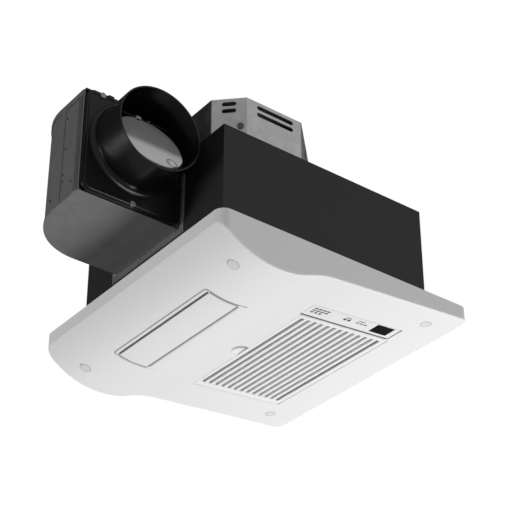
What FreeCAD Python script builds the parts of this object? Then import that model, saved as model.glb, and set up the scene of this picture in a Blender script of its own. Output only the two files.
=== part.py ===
import FreeCAD, Part
import math
import os
import re
from types import SimpleNamespace

# Bathroom ventilating dryer that hangs in a ceiling opening.
# Millimetres, +Z up. The origin is the centre of the ceiling opening, on the ceiling's lower face.
# +X runs from the duct side to the other end, -Y is the side that the duct collar points to.

Vector = FreeCAD.Vector
UP = Vector(0, 0, 1)

# Driving sizes
SIZES = {
    # black casing above the ceiling
    "ceiling_lap_x": 29.0,
    "ceiling_lap_y": 37.0,
    "casing_height": 136.0,
    "sheet": 1.0,
    "flange_reach": 12.0,
    "flange_thickness": 1.2,
    "ceiling_hole_radius": 2.6,
    "ceiling_hole_inset": 5.0,
    "ceiling_hole_spacing": 200.0,
    # white panel below the ceiling
    "panel_width": 338.0,
    "panel_depth": 338.0,
    "panel_corner": 12.0,
    "panel_wall": 2.8,
    "panel_edge_round": 1.8,
    "rim_height": 16.0,
    "belly_inset": 75.0,
    "belly_depth": 48.0,
    "belly_radius": 103.0,
    "flank_angle": 22.4,
    "hollow_radius": 120.0,
    # panel screws under round caps
    "cap_inset_x": 37.5,
    "cap_inset_y": 30.0,
    "cap_radius": 6.2,
    "cap_gap": 0.15,
    "cap_proud": 0.3,
    "cap_seat": 4.5,
    "boss_wall": 2.2,
    "panel_screw_radius": 2.0,
    "panel_screw_head": 3.8,
    "panel_screw_head_height": 2.2,
    "panel_screw_grip": 4.0,
    "screw_gap": 0.1,
    # hot-air outlet
    "outlet_offset": 7.5,
    "outlet_width": 52.0,
    "outlet_length": 174.0,
    "outlet_gap": 0.5,
    "outlet_corner": 3.0,
    "outlet_edge": 3.5,
    "outlet_end_wall": 2.4,
    "outlet_lip": 3.0,
    "outlet_lip_thickness": 2.0,
    "outlet_gasket_height": 2.0,
    # louver
    "louver_width": 36.5,
    "louver_slit": 2.5,
    "louver_far_gap": 0.6,
    "louver_end_gap": 0.7,
    "louver_thickness": 3.0,
    "louver_pivot_inset": 12.0,
    "louver_pivot_rise": 7.4,
    "louver_pin_radius": 2.2,
    "louver_lug_radius": 3.8,
    "louver_lug_thickness": 3.0,
    "bush_wall": 1.2,
    "bush_stand": 0.5,
    "running_gap": 0.05,
    # louver drive
    "gear_module": 0.8,
    "gear_teeth": 30,
    "pinion_teeth": 15,
    "gear_width": 5.0,
    "gear_stand": 1.5,
    "gear_hub_radius": 3.9,
    "louver_swing": 80.0,
    "stepper_radius": 13.0,
    "stepper_length": 18.0,
    "stepper_stand": 1.5,
    "stepper_ear_reach": 15.5,
    "stepper_ear_radius": 3.2,
    "stepper_ear_thickness": 1.5,
    "stepper_screw_radius": 1.2,
    "stepper_screw_head": 2.2,
    "stepper_shaft_radius": 2.0,
    "stepper_shaft_depth": 6.0,
    # intake grille and filter, measured along the sloping part of the panel
    "grille_setback": 17.2,
    "grille_end_margin": 46.6,
    "grille_near_y": -86.0,
    "grille_far_y": 113.0,
    "grille_thickness": 2.8,
    "grille_gap": 0.5,
    "grille_pin_radius": 1.0,
    "grille_pin_length": 4.0,
    "slot_count": 13,
    "slot_first": 4.8,
    "slot_last": 6.6,
    "slot_width": 5.2,
    "slot_near_margin": 5.0,
    "slot_far_margin": 9.0,
    "notch_y": 15.0,
    "notch_radius": 10.5,
    "notch_setback": 5.0,
    "notch_depth": 1.9,
    "filter_margin": 4.5,
    "filter_height": 4.0,
    "filter_rim": 3.0,
    "mesh_thickness": 0.6,
    "mesh_columns": 12,
    "mesh_rows": 20,
    "mesh_bar": 1.6,
    # control strip
    "strip_lead": 3.0,
    "strip_shorter": 2.0,
    "strip_near_y": -113.0,
    "strip_depth": 22.0,
    "strip_thickness": 1.5,
    "strip_proud": 0.3,
    "strip_gap": 0.2,
    "window_end_margin": 7.0,
    "window_width": 24.5,
    "window_depth": 17.5,
    "window_near_margin": 0.8,
    "display_board_inset": 14.0,
    "display_post_height": 3.5,
    "display_post_radius": 2.5,
    "board_thickness": 1.6,
    # fan
    "fan_inset_x": 87.0,
    "fan_inset_y": 90.0,
    "impeller_radius": 55.0,
    "impeller_height": 52.0,
    "impeller_lid_gap": 6.5,
    "impeller_plate": 1.6,
    "impeller_ring_height": 3.0,
    "blade_count": 36,
    "blade_chord": 8.5,
    "blade_thickness": 1.0,
    "hub_radius": 9.0,
    "hub_height": 17.0,
    "shaft_radius": 3.0,
    "nut_across": 10.0,
    "nut_height": 5.0,
    "shaft_tail": 3.0,
    # fan scroll
    "scroll_height": 69.0,
    "scroll_wall": 1.5,
    "scroll_gap": 5.0,
    "scroll_reach": 98.0,
    "tongue_offset": 25.0,
    "inlet_radius": 46.0,
    "inlet_flange": 6.0,
    "inlet_lip_height": 6.0,
    # changeover flap
    "damper_axis_inset": 4.0,
    "damper_axis_rise": 4.5,
    "damper_overlap": 3.0,
    "damper_thickness": 2.0,
    "damper_tube_radius": 3.0,
    "damper_pin_radius": 2.5,
    "damper_side_gap": 0.6,
    "damper_seat_gap": 0.3,
    "duct_opening_width": 48.5,
    "duct_opening_margin": 4.5,
    "port_margin": 4.5,
    "port_base_rise": 15.0,
    "port_top_drop": 6.5,
    "gasket_rim": 3.0,
    "damper_motor_size": 34.0,
    "damper_motor_depth": 20.0,
    "damper_motor_ear": 8.0,
    "damper_motor_ear_thickness": 2.0,
    "damper_pin_reach": 6.0,
    # heater
    "heater_duct_lap_x": 2.0,
    "heater_duct_lap_y": 5.0,
    "heater_duct_height": 32.0,
    "heater_frame_height": 18.0,
    "heater_frame_rim": 5.0,
    "heater_gap": 0.2,
    "heater_bar_count": 3,
    "heater_bar_width": 4.0,
    "heater_bar_height": 14.0,
    "heater_fin_pitch": 5.0,
    "heater_fin_thickness": 0.6,
    "cutout_radius": 8.0,
    "cutout_height": 8.0,
    "cutout_inset": 22.0,
    # fan motor and its cover
    "motor_hole_radius": 30.0,
    "bracket_radius": 58.0,
    "bracket_thickness": 2.0,
    "bracket_hole_radius": 20.0,
    "bush_height": 4.0,
    "bush_radius": 5.0,
    "bush_circle": 42.0,
    "motor_flange_radius": 48.0,
    "motor_flange_thickness": 2.0,
    "motor_radius": 36.0,
    "motor_height": 34.0,
    "motor_wall": 1.6,
    "bearing_radius": 8.0,
    "bearing_height": 5.0,
    "stator_height": 13.0,
    "stator_bore": 20.0,
    "stator_gap": 0.2,
    "rotor_gap": 0.4,
    "winding_height": 4.0,
    "motor_screw_radius": 2.0,
    "motor_screw_head": 3.6,
    "motor_screw_head_height": 2.0,
    "bracket_screw_circle": 53.0,
    "capacitor_width": 34.0,
    "capacitor_depth": 17.0,
    "capacitor_height": 30.0,
    "capacitor_offset_x": 72.0,
    "capacitor_offset_y": 46.0,
    "cover_half_width": 83.0,
    "cover_half_depth": 87.5,
    "cover_height": 51.5,
    "cover_duct_chamfer": 28.0,
    "cover_far_chamfer": 62.0,
    "cover_slot_height": 5.6,
    "cover_slot_pitch": 9.2,
    "cover_slot_drop": 7.2,
    "cover_slot_long": 50.0,
    "cover_slot_offset": 1.0,
    "cover_slot_short": 16.0,
    "lug_width": 12.0,
    "lug_height": 18.0,
    "lug_foot": 8.0,
    "cover_screw_radius": 1.8,
    "cover_screw_head": 3.6,
    "cover_screw_head_height": 1.8,
    "cover_screw_rise": 13.0,
    "cover_screw_offset": 13.0,
    # duct elbow and collar
    "elbow_reach": 126.0,
    "elbow_depth": 115.0,
    "elbow_far_margin": 9.0,
    "elbow_base_z": 42.0,
    "elbow_height": 131.0,
    "elbow_turn_radius": 68.0,
    "elbow_front_rim": 8.0,
    "elbow_tab": 11.0,
    "elbow_tab_height": 68.0,
    "elbow_foot": 7.0,
    "elbow_screw_radius": 1.8,
    "elbow_screw_head": 3.4,
    "elbow_screw_height": 1.8,
    "collar_radius": 50.8,
    "collar_wall": 1.8,
    "collar_length": 49.0,
    "collar_axis_rise": 74.5,
    "collar_plate": 7.0,
    "collar_plate_margin": 1.0,
    "collar_plate_side": 3.5,
    "collar_plate_corner": 10.0,
    "collar_root_round": 7.0,
    "collar_screw_inset": 4.4,
    "collar_screw_offset": 44.0,
    # backdraft flap
    "flap_radius": 38.5,
    "flap_thickness": 1.2,
    "flap_lean": 24.0,
    "flap_axis_rise": 32.0,
    "flap_axis_setback": 36.5,
    "flap_centre_drop": 39.5,
    "flap_stretch": 6.0,
    "flap_pin_radius": 1.5,
    "flap_eye_radius": 2.6,
    "flap_eye_width": 6.0,
    "flap_eye_spacing": 13.0,
    "seat_lap": 3.0,
    "seat_thickness": 2.0,
    "seat_drop": 7.0,
    # electrics
    "box_scroll_gap": 29.5,
    "box_depth": 130.0,
    "box_height": 55.0,
    "box_wall_gap": 5.0,
    "box_y": -70.0,
    "board_inset": 5.0,
    "board_drop": 16.0,
    "board_post_radius": 3.0,
    "board_part_height": 20.0,
    "transformer_width": 30.0,
    "transformer_depth": 26.0,
    "relay_count": 3,
    "relay_pitch": 22.0,
    "relay_width": 15.0,
    "relay_depth": 18.0,
    "relay_height": 14.0,
    "smoothing_radius": 6.0,
    "smoothing_gap": 3.0,
    "terminal_length": 44.0,
    "terminal_width": 16.0,
    "terminal_gap": 1.2,
    "grommet_bore": 8.0,
    "grommet_neck": 11.0,
    "grommet_flange": 14.0,
    "grommet_flange_thickness": 2.5,
    "grommet_y": 30.0,
    "grommet_z": 105.0,
}

size = SimpleNamespace(**SIZES)

# Sizes that follow from the driving ones
size.casing_width = size.panel_width - 2 * size.ceiling_lap_x
size.casing_depth = size.panel_depth - 2 * size.ceiling_lap_y
size.belly_x = size.belly_inset - size.panel_width / 2
size.outlet_x = size.belly_x - size.outlet_offset
size.cap_x = size.panel_width / 2 - size.cap_inset_x
size.cap_y = size.panel_depth / 2 - size.cap_inset_y
size.fan_x = size.fan_inset_x - size.casing_width / 2
size.fan_y = size.fan_inset_y - size.casing_depth / 2
size.capacitor_x = size.fan_x - size.capacitor_offset_x
size.capacitor_y = size.fan_y + size.capacitor_offset_y
size.heater_duct_width = size.outlet_width + 2 * size.heater_duct_lap_x
size.heater_duct_length = size.outlet_length + 2 * size.heater_duct_lap_y
size.cutout_y = size.cutout_inset - size.heater_duct_length / 2


def wave_frame():
    """Centres, angles and join points of the underside: a belly arc, a hollow arc and a straight slope."""
    belly = Vector(size.belly_x, 0, size.belly_radius - size.belly_depth)
    flank = math.radians(size.flank_angle)
    toward_hollow = Vector(math.sin(flank), 0, -math.cos(flank))
    hollow = belly + toward_hollow * (size.belly_radius + size.hollow_radius)
    rim_end = Vector(size.panel_width / 2, 0, -size.rim_height)
    span = rim_end - hollow
    slope = math.atan2(span.z, span.x) - math.asin(size.hollow_radius / span.Length)
    inward = Vector(-math.sin(slope), 0, math.cos(slope))
    return SimpleNamespace(belly=belly, flank=flank, toward_hollow=toward_hollow, hollow=hollow,
                           rim_end=rim_end, slope=slope, inward=inward)


wave = wave_frame()
size.slope_start = (wave.hollow.x - size.hollow_radius * math.sin(wave.slope)) / math.cos(wave.slope)
size.grille_start = size.slope_start + size.grille_setback
size.grille_width = wave.rim_end.x / math.cos(wave.slope) - size.grille_end_margin - size.grille_start
size.slot_pitch = ((size.grille_width - size.slot_first - size.slot_last - size.slot_width)
                   / (size.slot_count - 1))
size.strip_start = size.grille_start - size.strip_lead
size.strip_width = size.grille_width - size.strip_shorter
size.window_start = size.strip_start + size.strip_width - size.window_end_margin - size.window_width


def belly_z(x, inset):
    """Height of the belly arc at x, moved inwards by inset."""
    return wave.belly.z - math.sqrt((size.belly_radius - inset) ** 2 - (x - size.belly_x) ** 2)


def slope_z(x, inset):
    """Height of the straight slope at x, moved inwards by inset."""
    along = (x - wave.rim_end.x) * math.tan(wave.slope)
    return wave.rim_end.z + along + inset / math.cos(wave.slope)


# Places worked out from the driving sizes
half_width = size.casing_width / 2
half_depth = size.casing_depth / 2
inner_left = -half_width + size.sheet
inner_top = size.casing_height - size.sheet
louver_left = size.outlet_x - size.outlet_width / 2 + size.outlet_edge + size.louver_slit
throat_left = louver_left - size.louver_slit
throat_right = louver_left + size.louver_width + size.louver_far_gap
throat_half = size.outlet_length / 2 - size.outlet_end_wall
pivot_x = louver_left + size.louver_pivot_inset
pivot_z = belly_z(pivot_x, 0) + size.louver_pivot_rise
gear_distance = size.gear_module * (size.gear_teeth + size.pinion_teeth) / 2
gear_y = size.outlet_length / 2 + size.gear_stand
stepper_y = gear_y + size.gear_width + size.stepper_stand
scroll_base = inner_top - size.scroll_height
scroll_floor = scroll_base + size.scroll_wall
tongue_radius = size.impeller_radius + size.scroll_gap
tongue_angle = math.acos(-size.tongue_offset / tongue_radius)
scroll_end_angle = 2.5 * math.pi


def scroll_radius(angle):
    """Radius of the scroll's curve, which grows evenly from the tongue round to the far wall."""
    share = (angle - tongue_angle) / (scroll_end_angle - tongue_angle)
    return tongue_radius + share * (size.scroll_reach - tongue_radius)


scroll_right = size.fan_x + scroll_radius(2 * math.pi) + size.scroll_wall
chamber_near = size.fan_y + math.sqrt(tongue_radius ** 2 - size.tongue_offset ** 2)
chamber_far = size.fan_y + size.scroll_reach
damper_x = inner_left + size.damper_axis_inset
damper_z = scroll_floor + size.damper_axis_rise
duct_left = size.outlet_x - size.heater_duct_width / 2
size.duct_opening_x_end = duct_left + size.sheet + size.duct_opening_width
size.damper_length = size.duct_opening_x_end + size.damper_overlap - damper_x
size.elbow_far_y = chamber_far + size.elbow_far_margin
size.elbow_near_y = size.elbow_far_y - size.elbow_depth
impeller_top = inner_top - size.scroll_wall - size.impeller_lid_gap
motor_base = size.casing_height + size.bracket_thickness + size.bush_height
bearing_base = motor_base + size.motor_flange_thickness
motor_top = bearing_base + size.motor_height
elbow_left = -half_width - size.elbow_reach
collar_x = -half_width - size.elbow_reach / 2
collar_z = size.elbow_base_z + size.collar_axis_rise
collar_tip = size.elbow_near_y - size.collar_plate - size.collar_length
flap_y = collar_tip + size.flap_axis_setback
flap_z = collar_z + size.flap_axis_rise
box_right = half_width - size.sheet - size.box_wall_gap
box_left = scroll_right + size.box_scroll_gap
box_width = box_right - box_left
box_base = inner_top - size.box_height
under_board = inner_top - size.sheet - size.board_drop - size.board_thickness
terminal_height = under_board - size.board_part_height - size.terminal_gap - box_base
grille_end = size.grille_start + size.grille_width

PLACES = {
    "half_width": half_width,
    "half_depth": half_depth,
    "inner_left": inner_left,
    "inner_top": inner_top,
    "throat_left": throat_left,
    "throat_right": throat_right,
    "throat_half": throat_half,
    "pivot_x": pivot_x,
    "pivot_z": pivot_z,
    "gear_distance": gear_distance,
    "gear_y": gear_y,
    "stepper_y": stepper_y,
    "scroll_base": scroll_base,
    "scroll_floor": scroll_floor,
    "chamber_near": chamber_near,
    "chamber_far": chamber_far,
    "damper_x": damper_x,
    "damper_z": damper_z,
    "duct_left": duct_left,
    "impeller_top": impeller_top,
    "motor_base": motor_base,
    "bearing_base": bearing_base,
    "motor_top": motor_top,
    "elbow_left": elbow_left,
    "collar_x": collar_x,
    "collar_z": collar_z,
    "collar_tip": collar_tip,
    "flap_y": flap_y,
    "flap_z": flap_z,
    "box_left": box_left,
    "box_right": box_right,
    "box_width": box_width,
    "box_base": box_base,
    "under_board": under_board,
    "terminal_height": terminal_height,
    "grille_end": grille_end,
}

doc = FreeCAD.newDocument("ventilating_dryer")
sheet = doc.addObject("Spreadsheet::Sheet", "Sizes")
ALIASES = {**vars(size), **PLACES}
for row, (alias, value) in enumerate(ALIASES.items(), start=1):
    sheet.set(f"A{row}", alias)
    sheet.set(f"B{row}", str(value))
    sheet.setAlias(f"B{row}", alias)
doc.recompute()

nodes = []
AXIS_TURNS = {
    "X": FreeCAD.Rotation(Vector(0, 1, 0), 90),
    "Y": FreeCAD.Rotation(Vector(1, 0, 0), -90),
    "Z": FreeCAD.Rotation(),
}
SLOPE_ORIGIN = Vector(0, 0, slope_z(0, 0))
SLOPE_TURN = FreeCAD.Rotation(Vector(0, 1, 0), -math.degrees(wave.slope))


def bound(text):
    """Expression text with every size's alias led back to the sheet."""
    return re.sub(r"[a-z]\w*", lambda word: "Sizes." + word.group(), str(text))


def place(item, corner):
    """Bind an object's position to three expressions."""
    for axis, text in zip("xyz", corner):
        item.setExpression(f"Placement.Base.{axis}", bound(text))


def box(name, corner, extent):
    """Box from its lowest corner and its three lengths, all expressions."""
    item = doc.addObject("Part::Box", name)
    for prop, text in zip(("Length", "Width", "Height"), extent):
        item.setExpression(prop, bound(text))
    place(item, corner)
    return item


def rod(name, base, radius, length, axis="Z"):
    """Round bar from the middle of its first end, along +X, +Y or +Z."""
    item = doc.addObject("Part::Cylinder", name)
    item.Placement = FreeCAD.Placement(Vector(), AXIS_TURNS[axis])
    item.setExpression("Radius", bound(radius))
    item.setExpression("Height", bound(length))
    place(item, base)
    return item


def fuse(name, *items):
    """One object out of several that touch or overlap."""
    item = doc.addObject("Part::MultiFuse", name)
    item.Shapes = list(items)
    return item


def cut(name, base, *tools):
    """The base with every tool taken away from it."""
    item = doc.addObject("Part::Cut", name)
    item.Base = base
    item.Tool = tools[0] if len(tools) == 1 else fuse(name + "_cutters", *tools)
    return item


def ring(name, base, outer, inner, height, axis="Z"):
    """Round bar with a round hole along its axis."""
    return cut(name, rod(name + "_outer", base, outer, height, axis),
               rod(name + "_bore", base, inner, height, axis))


def drawn(name, shape):
    """Object whose shape is worked out from the sizes by a formula."""
    item = doc.addObject("Part::Feature", name)
    item.Shape = shape
    return item


def on_slope(item):
    """Lay an object drawn flat at the origin onto the straight slope of the panel's underside."""
    item.Placement = FreeCAD.Placement(SLOPE_ORIGIN, SLOPE_TURN)
    return item


def node(item, label):
    """Register a finished sub-part under the name of its file."""
    item.Label = label
    nodes.append(item)
    return item


def polygon(points):
    """Closed run of straight lines through 2-D points."""
    corners = [Vector(x, y, 0) for x, y in points]
    return [Part.LineSegment(a, b) for a, b in zip(corners, corners[1:] + corners[:1])]


def rounded_rectangle(left, low, right, high, radius):
    """Closed rectangle with round corners, as lines and quarter arcs."""
    centres = ((right - radius, high - radius), (left + radius, high - radius),
               (left + radius, low + radius), (right - radius, low + radius))
    arcs = []
    for quarter, (x, y) in enumerate(centres):
        circle = Part.Circle(Vector(x, y, 0), UP, radius)
        start = quarter * math.pi / 2
        arcs.append(Part.ArcOfCircle(circle, start, start + math.pi / 2))
    lines = [Part.LineSegment(a.EndPoint, b.StartPoint) for a, b in zip(arcs, arcs[1:] + arcs[:1])]
    return arcs + lines


def new_sketch(body, plane, curves, offset):
    """Sketch of the curves on one of the body's own planes, moved along its normal by an expression."""
    sketch = body.newObject("Sketcher::SketchObject", body.Name + "_sketch")
    support = next(item for item in body.Origin.OriginFeatures if item.Role == plane)
    sketch.AttachmentSupport = (support, [""])
    sketch.MapMode = "FlatFace"
    sketch.setExpression("AttachmentOffset.Base.z", bound(offset))
    sketch.addGeometry(curves, False)
    return sketch


def new_body(name):
    """Empty body."""
    return doc.addObject("PartDesign::Body", name)


def pad(body, curves, length, plane="XY_Plane", offset="0", both_ways=False):
    """Raise the curves into a solid, one way or evenly both ways from the sketch."""
    feature = body.newObject("PartDesign::Pad", body.Name + "_pad")
    feature.Profile = new_sketch(body, plane, curves, offset)
    feature.setExpression("Length", bound(length))
    if both_ways:
        feature.SideType = "Symmetric"
    body.Tip = feature
    return feature


def pocket(body, curves, length, plane="XY_Plane", offset="0", both_ways=False, upwards=False):
    """Sink the curves into the body, and check that material went away."""
    doc.recompute()
    before = body.Shape.Volume
    feature = body.newObject("PartDesign::Pocket", body.Name + "_pocket")
    feature.Profile = new_sketch(body, plane, curves, offset)
    feature.setExpression("Length", bound(length))
    if both_ways:
        feature.SideType = "Symmetric"
    feature.Reversed = upwards
    body.Tip = feature
    doc.recompute()
    if not body.Shape.Volume < before:
        raise RuntimeError(f"{body.Name}: a pocket cut nothing")
    return feature


def round_edges(body, chosen, radius):
    """Fillet the edges of the body's last feature that the test picks."""
    doc.recompute()
    base = body.Tip
    names = [f"Edge{i}" for i, edge in enumerate(base.Shape.Edges, start=1) if chosen(edge)]
    feature = body.newObject("PartDesign::Fillet", body.Name + "_fillet")
    feature.Base = (base, names)
    feature.setExpression("Radius", bound(radius))
    body.Tip = feature
    return feature


def screw(head_seat, direction, shank_radius, shank_length, head_radius, head_height):
    """Pan-head screw: the head stands behind its seat, the shank runs along direction."""
    head = Part.makeCylinder(head_radius, head_height, head_seat - direction * head_height, direction)
    shank = Part.makeCylinder(shank_radius, shank_length, head_seat, direction)
    return head.fuse(shank).removeSplitter()


def prism(curves, base_z, height):
    """Upright solid over closed curves drawn on the XY plane."""
    edges = Part.__sortEdges__([curve.toShape() for curve in curves])
    face = Part.Face(Part.Wire(edges))
    face.translate(Vector(0, 0, base_z))
    return face.extrude(Vector(0, 0, height))


# Panel


def wave_curves(inset, reach):
    """Underside from -reach to +reach, moved inwards by inset, in sketch coordinates (x, z)."""
    belly_radius = size.belly_radius - inset
    hollow_radius = size.hollow_radius + inset
    belly = Vector(wave.belly.x, wave.belly.z, 0)
    hollow = Vector(wave.hollow.x, wave.hollow.z, 0)
    start = math.asin((-reach - belly.x) / belly_radius) - math.pi / 2
    join = wave.flank - math.pi / 2
    belly_arc = Part.ArcOfCircle(Part.Circle(belly, UP, belly_radius), start, join)
    hollow_arc = Part.ArcOfCircle(Part.Circle(hollow, UP, hollow_radius),
                                  math.pi / 2 + wave.slope, math.pi / 2 + wave.flank)
    line = Part.LineSegment(hollow_arc.StartPoint, Vector(reach, slope_z(reach, inset), 0))
    return [belly_arc, hollow_arc, line]


def wave_outline(inset, reach, top):
    """Closed section between the underside and a level top."""
    curves = wave_curves(inset, reach)
    first = curves[0].StartPoint
    last = curves[-1].EndPoint
    corner_right = Vector(reach, top, 0)
    corner_left = Vector(-reach, top, 0)
    return curves + [Part.LineSegment(last, corner_right), Part.LineSegment(corner_right, corner_left),
                     Part.LineSegment(corner_left, first)]


def is_upright(edge):
    """True for an edge that runs straight up."""
    box_ = edge.BoundBox
    return box_.XLength < 1e-6 and box_.YLength < 1e-6


def is_below(level):
    """Test for the edges that lie wholly below a level."""
    return lambda edge: edge.BoundBox.ZMax < level


def cap_places():
    """Centres of the four panel screws, each with its seat's height inside the panel."""
    places = []
    for side_x in (-1, 1):
        x = side_x * size.cap_x
        surface = belly_z(x, 0) if side_x < 0 else slope_z(x, 0)
        for side_y in (-1, 1):
            places.append((x, side_y * size.cap_y, surface + size.cap_seat))
    return places


def slope_box(name, start, near, low, width, depth, height):
    """Box laid on the panel's straight slope: start along the slope, near along Y, low above the skin."""
    shape = Part.makeBox(width, depth, height, Vector(start, near, low))
    return on_slope(drawn(name, shape))


def build_panel():
    """White moulded panel: a wavy shell with its bosses, openings, notch and recess."""
    skin = new_body("panel_skin")
    reach = size.panel_width / 2
    pad(skin, wave_outline(0, reach, 0), "panel_depth", "XZ_Plane", both_ways=True)
    round_edges(skin, is_upright, "panel_corner")
    round_edges(skin, is_below(-1.0), "panel_edge_round")
    hollow = new_body("panel_hollow")
    pad(hollow, wave_outline(size.panel_wall, reach - size.panel_wall, size.panel_wall),
        "panel_depth - 2 * panel_wall", "XZ_Plane", both_ways=True)
    round_edges(hollow, is_upright, "panel_corner - panel_wall")
    added = [cut("panel_shell", skin, hollow)]
    removed = []
    boss_radius = size.cap_radius + size.cap_gap + size.boss_wall
    mid_wall = size.panel_wall / 2
    inside = prism_xz(wave_outline(mid_wall, reach - mid_wall, 0), size.panel_depth - size.panel_wall)
    for number, (x, y, seat) in enumerate(cap_places()):
        foot = Vector(x, y, -size.flange_thickness - 2 * size.belly_depth)
        boss = Part.makeCylinder(boss_radius, 2 * size.belly_depth, foot)
        added.append(drawn(f"panel_boss_{number}", boss.common(inside)))
        removed.append(rod(f"panel_screw_hole_{number}", (x, y, seat - size.cap_seat - size.cap_radius),
                           "panel_screw_radius + screw_gap", "panel_depth"))
        removed.append(rod(f"panel_cap_recess_{number}", (x, y, seat - 2 * size.belly_depth),
                           "cap_radius + cap_gap", "2 * belly_depth"))
    wall = size.panel_wall
    gap = size.grille_gap
    through = 8 * wall
    for number, y in enumerate((size.grille_near_y - gap - size.grille_pin_length, size.grille_far_y + gap)):
        added.append(slope_box(f"grille_hinge_block_{number}", grille_end - 2 * wall, y, wall / 2,
                               3 * wall, size.grille_pin_length, 1.5 * wall))
    strip_y = size.strip_near_y
    posts = []
    for x in (size.strip_start + size.display_board_inset,
              size.strip_start + size.strip_width - size.display_board_inset):
        for y in (strip_y + size.display_post_radius, strip_y + size.strip_depth - size.display_post_radius):
            posts.append(Part.makeCylinder(size.display_post_radius, size.display_post_height + wall / 2,
                                           Vector(x, y, wall / 2)))
    added.append(on_slope(drawn("display_posts", Part.makeCompound(posts))))
    removed.append(slope_box("grille_opening", size.grille_start - gap, size.grille_near_y - gap, -wall,
                             size.grille_width + 2 * gap,
                             size.grille_far_y - size.grille_near_y + 2 * gap, through))
    hinge = Part.makeCylinder(size.grille_pin_radius + size.running_gap,
                              size.grille_far_y - size.grille_near_y + 2 * (gap + size.grille_pin_length),
                              Vector(grille_end - size.grille_thickness / 2,
                                     size.grille_near_y - gap - size.grille_pin_length,
                                     size.grille_thickness / 2), Vector(0, 1, 0))
    removed.append(on_slope(drawn("grille_hinge_bore", hinge)))
    notch = Part.makeCylinder(size.notch_radius, size.notch_depth + wall,
                              Vector(size.grille_start - size.notch_setback, size.notch_y, -wall))
    removed.append(on_slope(drawn("finger_notch", notch)))
    strip_gap = size.strip_gap
    removed.append(slope_box("strip_recess", size.strip_start - strip_gap, strip_y - strip_gap, -wall,
                             size.strip_width + 2 * strip_gap, size.strip_depth + 2 * strip_gap,
                             wall + size.strip_thickness - size.strip_proud))
    removed.append(slope_box("window_hole", size.window_start + 1, strip_y + size.window_near_margin + 1,
                             -wall,
                             size.window_width - 2, size.window_depth - 2, through))
    hole = new_body("panel_outlet_hole")
    hole_x = size.outlet_width / 2 + size.outlet_gap
    hole_y = size.outlet_length / 2 + size.outlet_gap
    pad(hole, rounded_rectangle(size.outlet_x - hole_x, -hole_y, size.outlet_x + hole_x, hole_y,
                                size.outlet_corner + size.outlet_gap),
        "2 * belly_depth", offset="-2 * belly_depth")
    removed.append(hole)
    node(cut("panel_cut", fuse("panel_solid", *added), *removed), "front_panel")


def build_panel_fasteners():
    """Screws that hold the panel to the flange, and the round caps that hide them."""
    screws = []
    caps = []
    skin = prism_xz(wave_outline(-size.cap_proud, size.panel_width / 2, 0), size.panel_depth)
    for x, y, seat in cap_places():
        length = size.panel_screw_grip - seat
        screws.append(screw(Vector(x, y, seat), UP, size.panel_screw_radius, length,
                            size.panel_screw_head, size.panel_screw_head_height))
        plug_top = seat - size.panel_screw_head_height - size.screw_gap
        plug = Part.makeCylinder(size.cap_radius, size.belly_depth, Vector(x, y, plug_top - size.belly_depth))
        caps.append(plug.common(skin))
    node(drawn("panel_screw_set", Part.makeCompound(screws)), "panel_screws")
    node(drawn("screw_cap_set", Part.makeCompound(caps)), "screw_caps")


def prism_xz(curves, length):
    """Solid over closed curves in the XZ plane, evenly both ways along Y."""
    edges = Part.__sortEdges__([curve.toShape() for curve in curves])
    face = Part.Face(Part.Wire(edges))
    face.Placement = FreeCAD.Placement(Vector(0, length / 2, 0), FreeCAD.Rotation(Vector(1, 0, 0), 90))
    return face.extrude(Vector(0, -length, 0))


def belly_band(left, right, outer_inset, inner_inset):
    """Closed band that follows the belly arc between two insets, with square ends."""
    belly = Vector(wave.belly.x, wave.belly.z, 0)

    def arc(inset):
        radius = size.belly_radius - inset
        start = math.asin((left - belly.x) / radius) - math.pi / 2
        end = math.asin((right - belly.x) / radius) - math.pi / 2
        return Part.ArcOfCircle(Part.Circle(belly, UP, radius), start, end)

    outer = arc(outer_inset)
    inner = arc(inner_inset)
    return [outer, inner, Part.LineSegment(outer.StartPoint, inner.StartPoint),
            Part.LineSegment(outer.EndPoint, inner.EndPoint)]


# Outlet, louver and its drive


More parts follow.
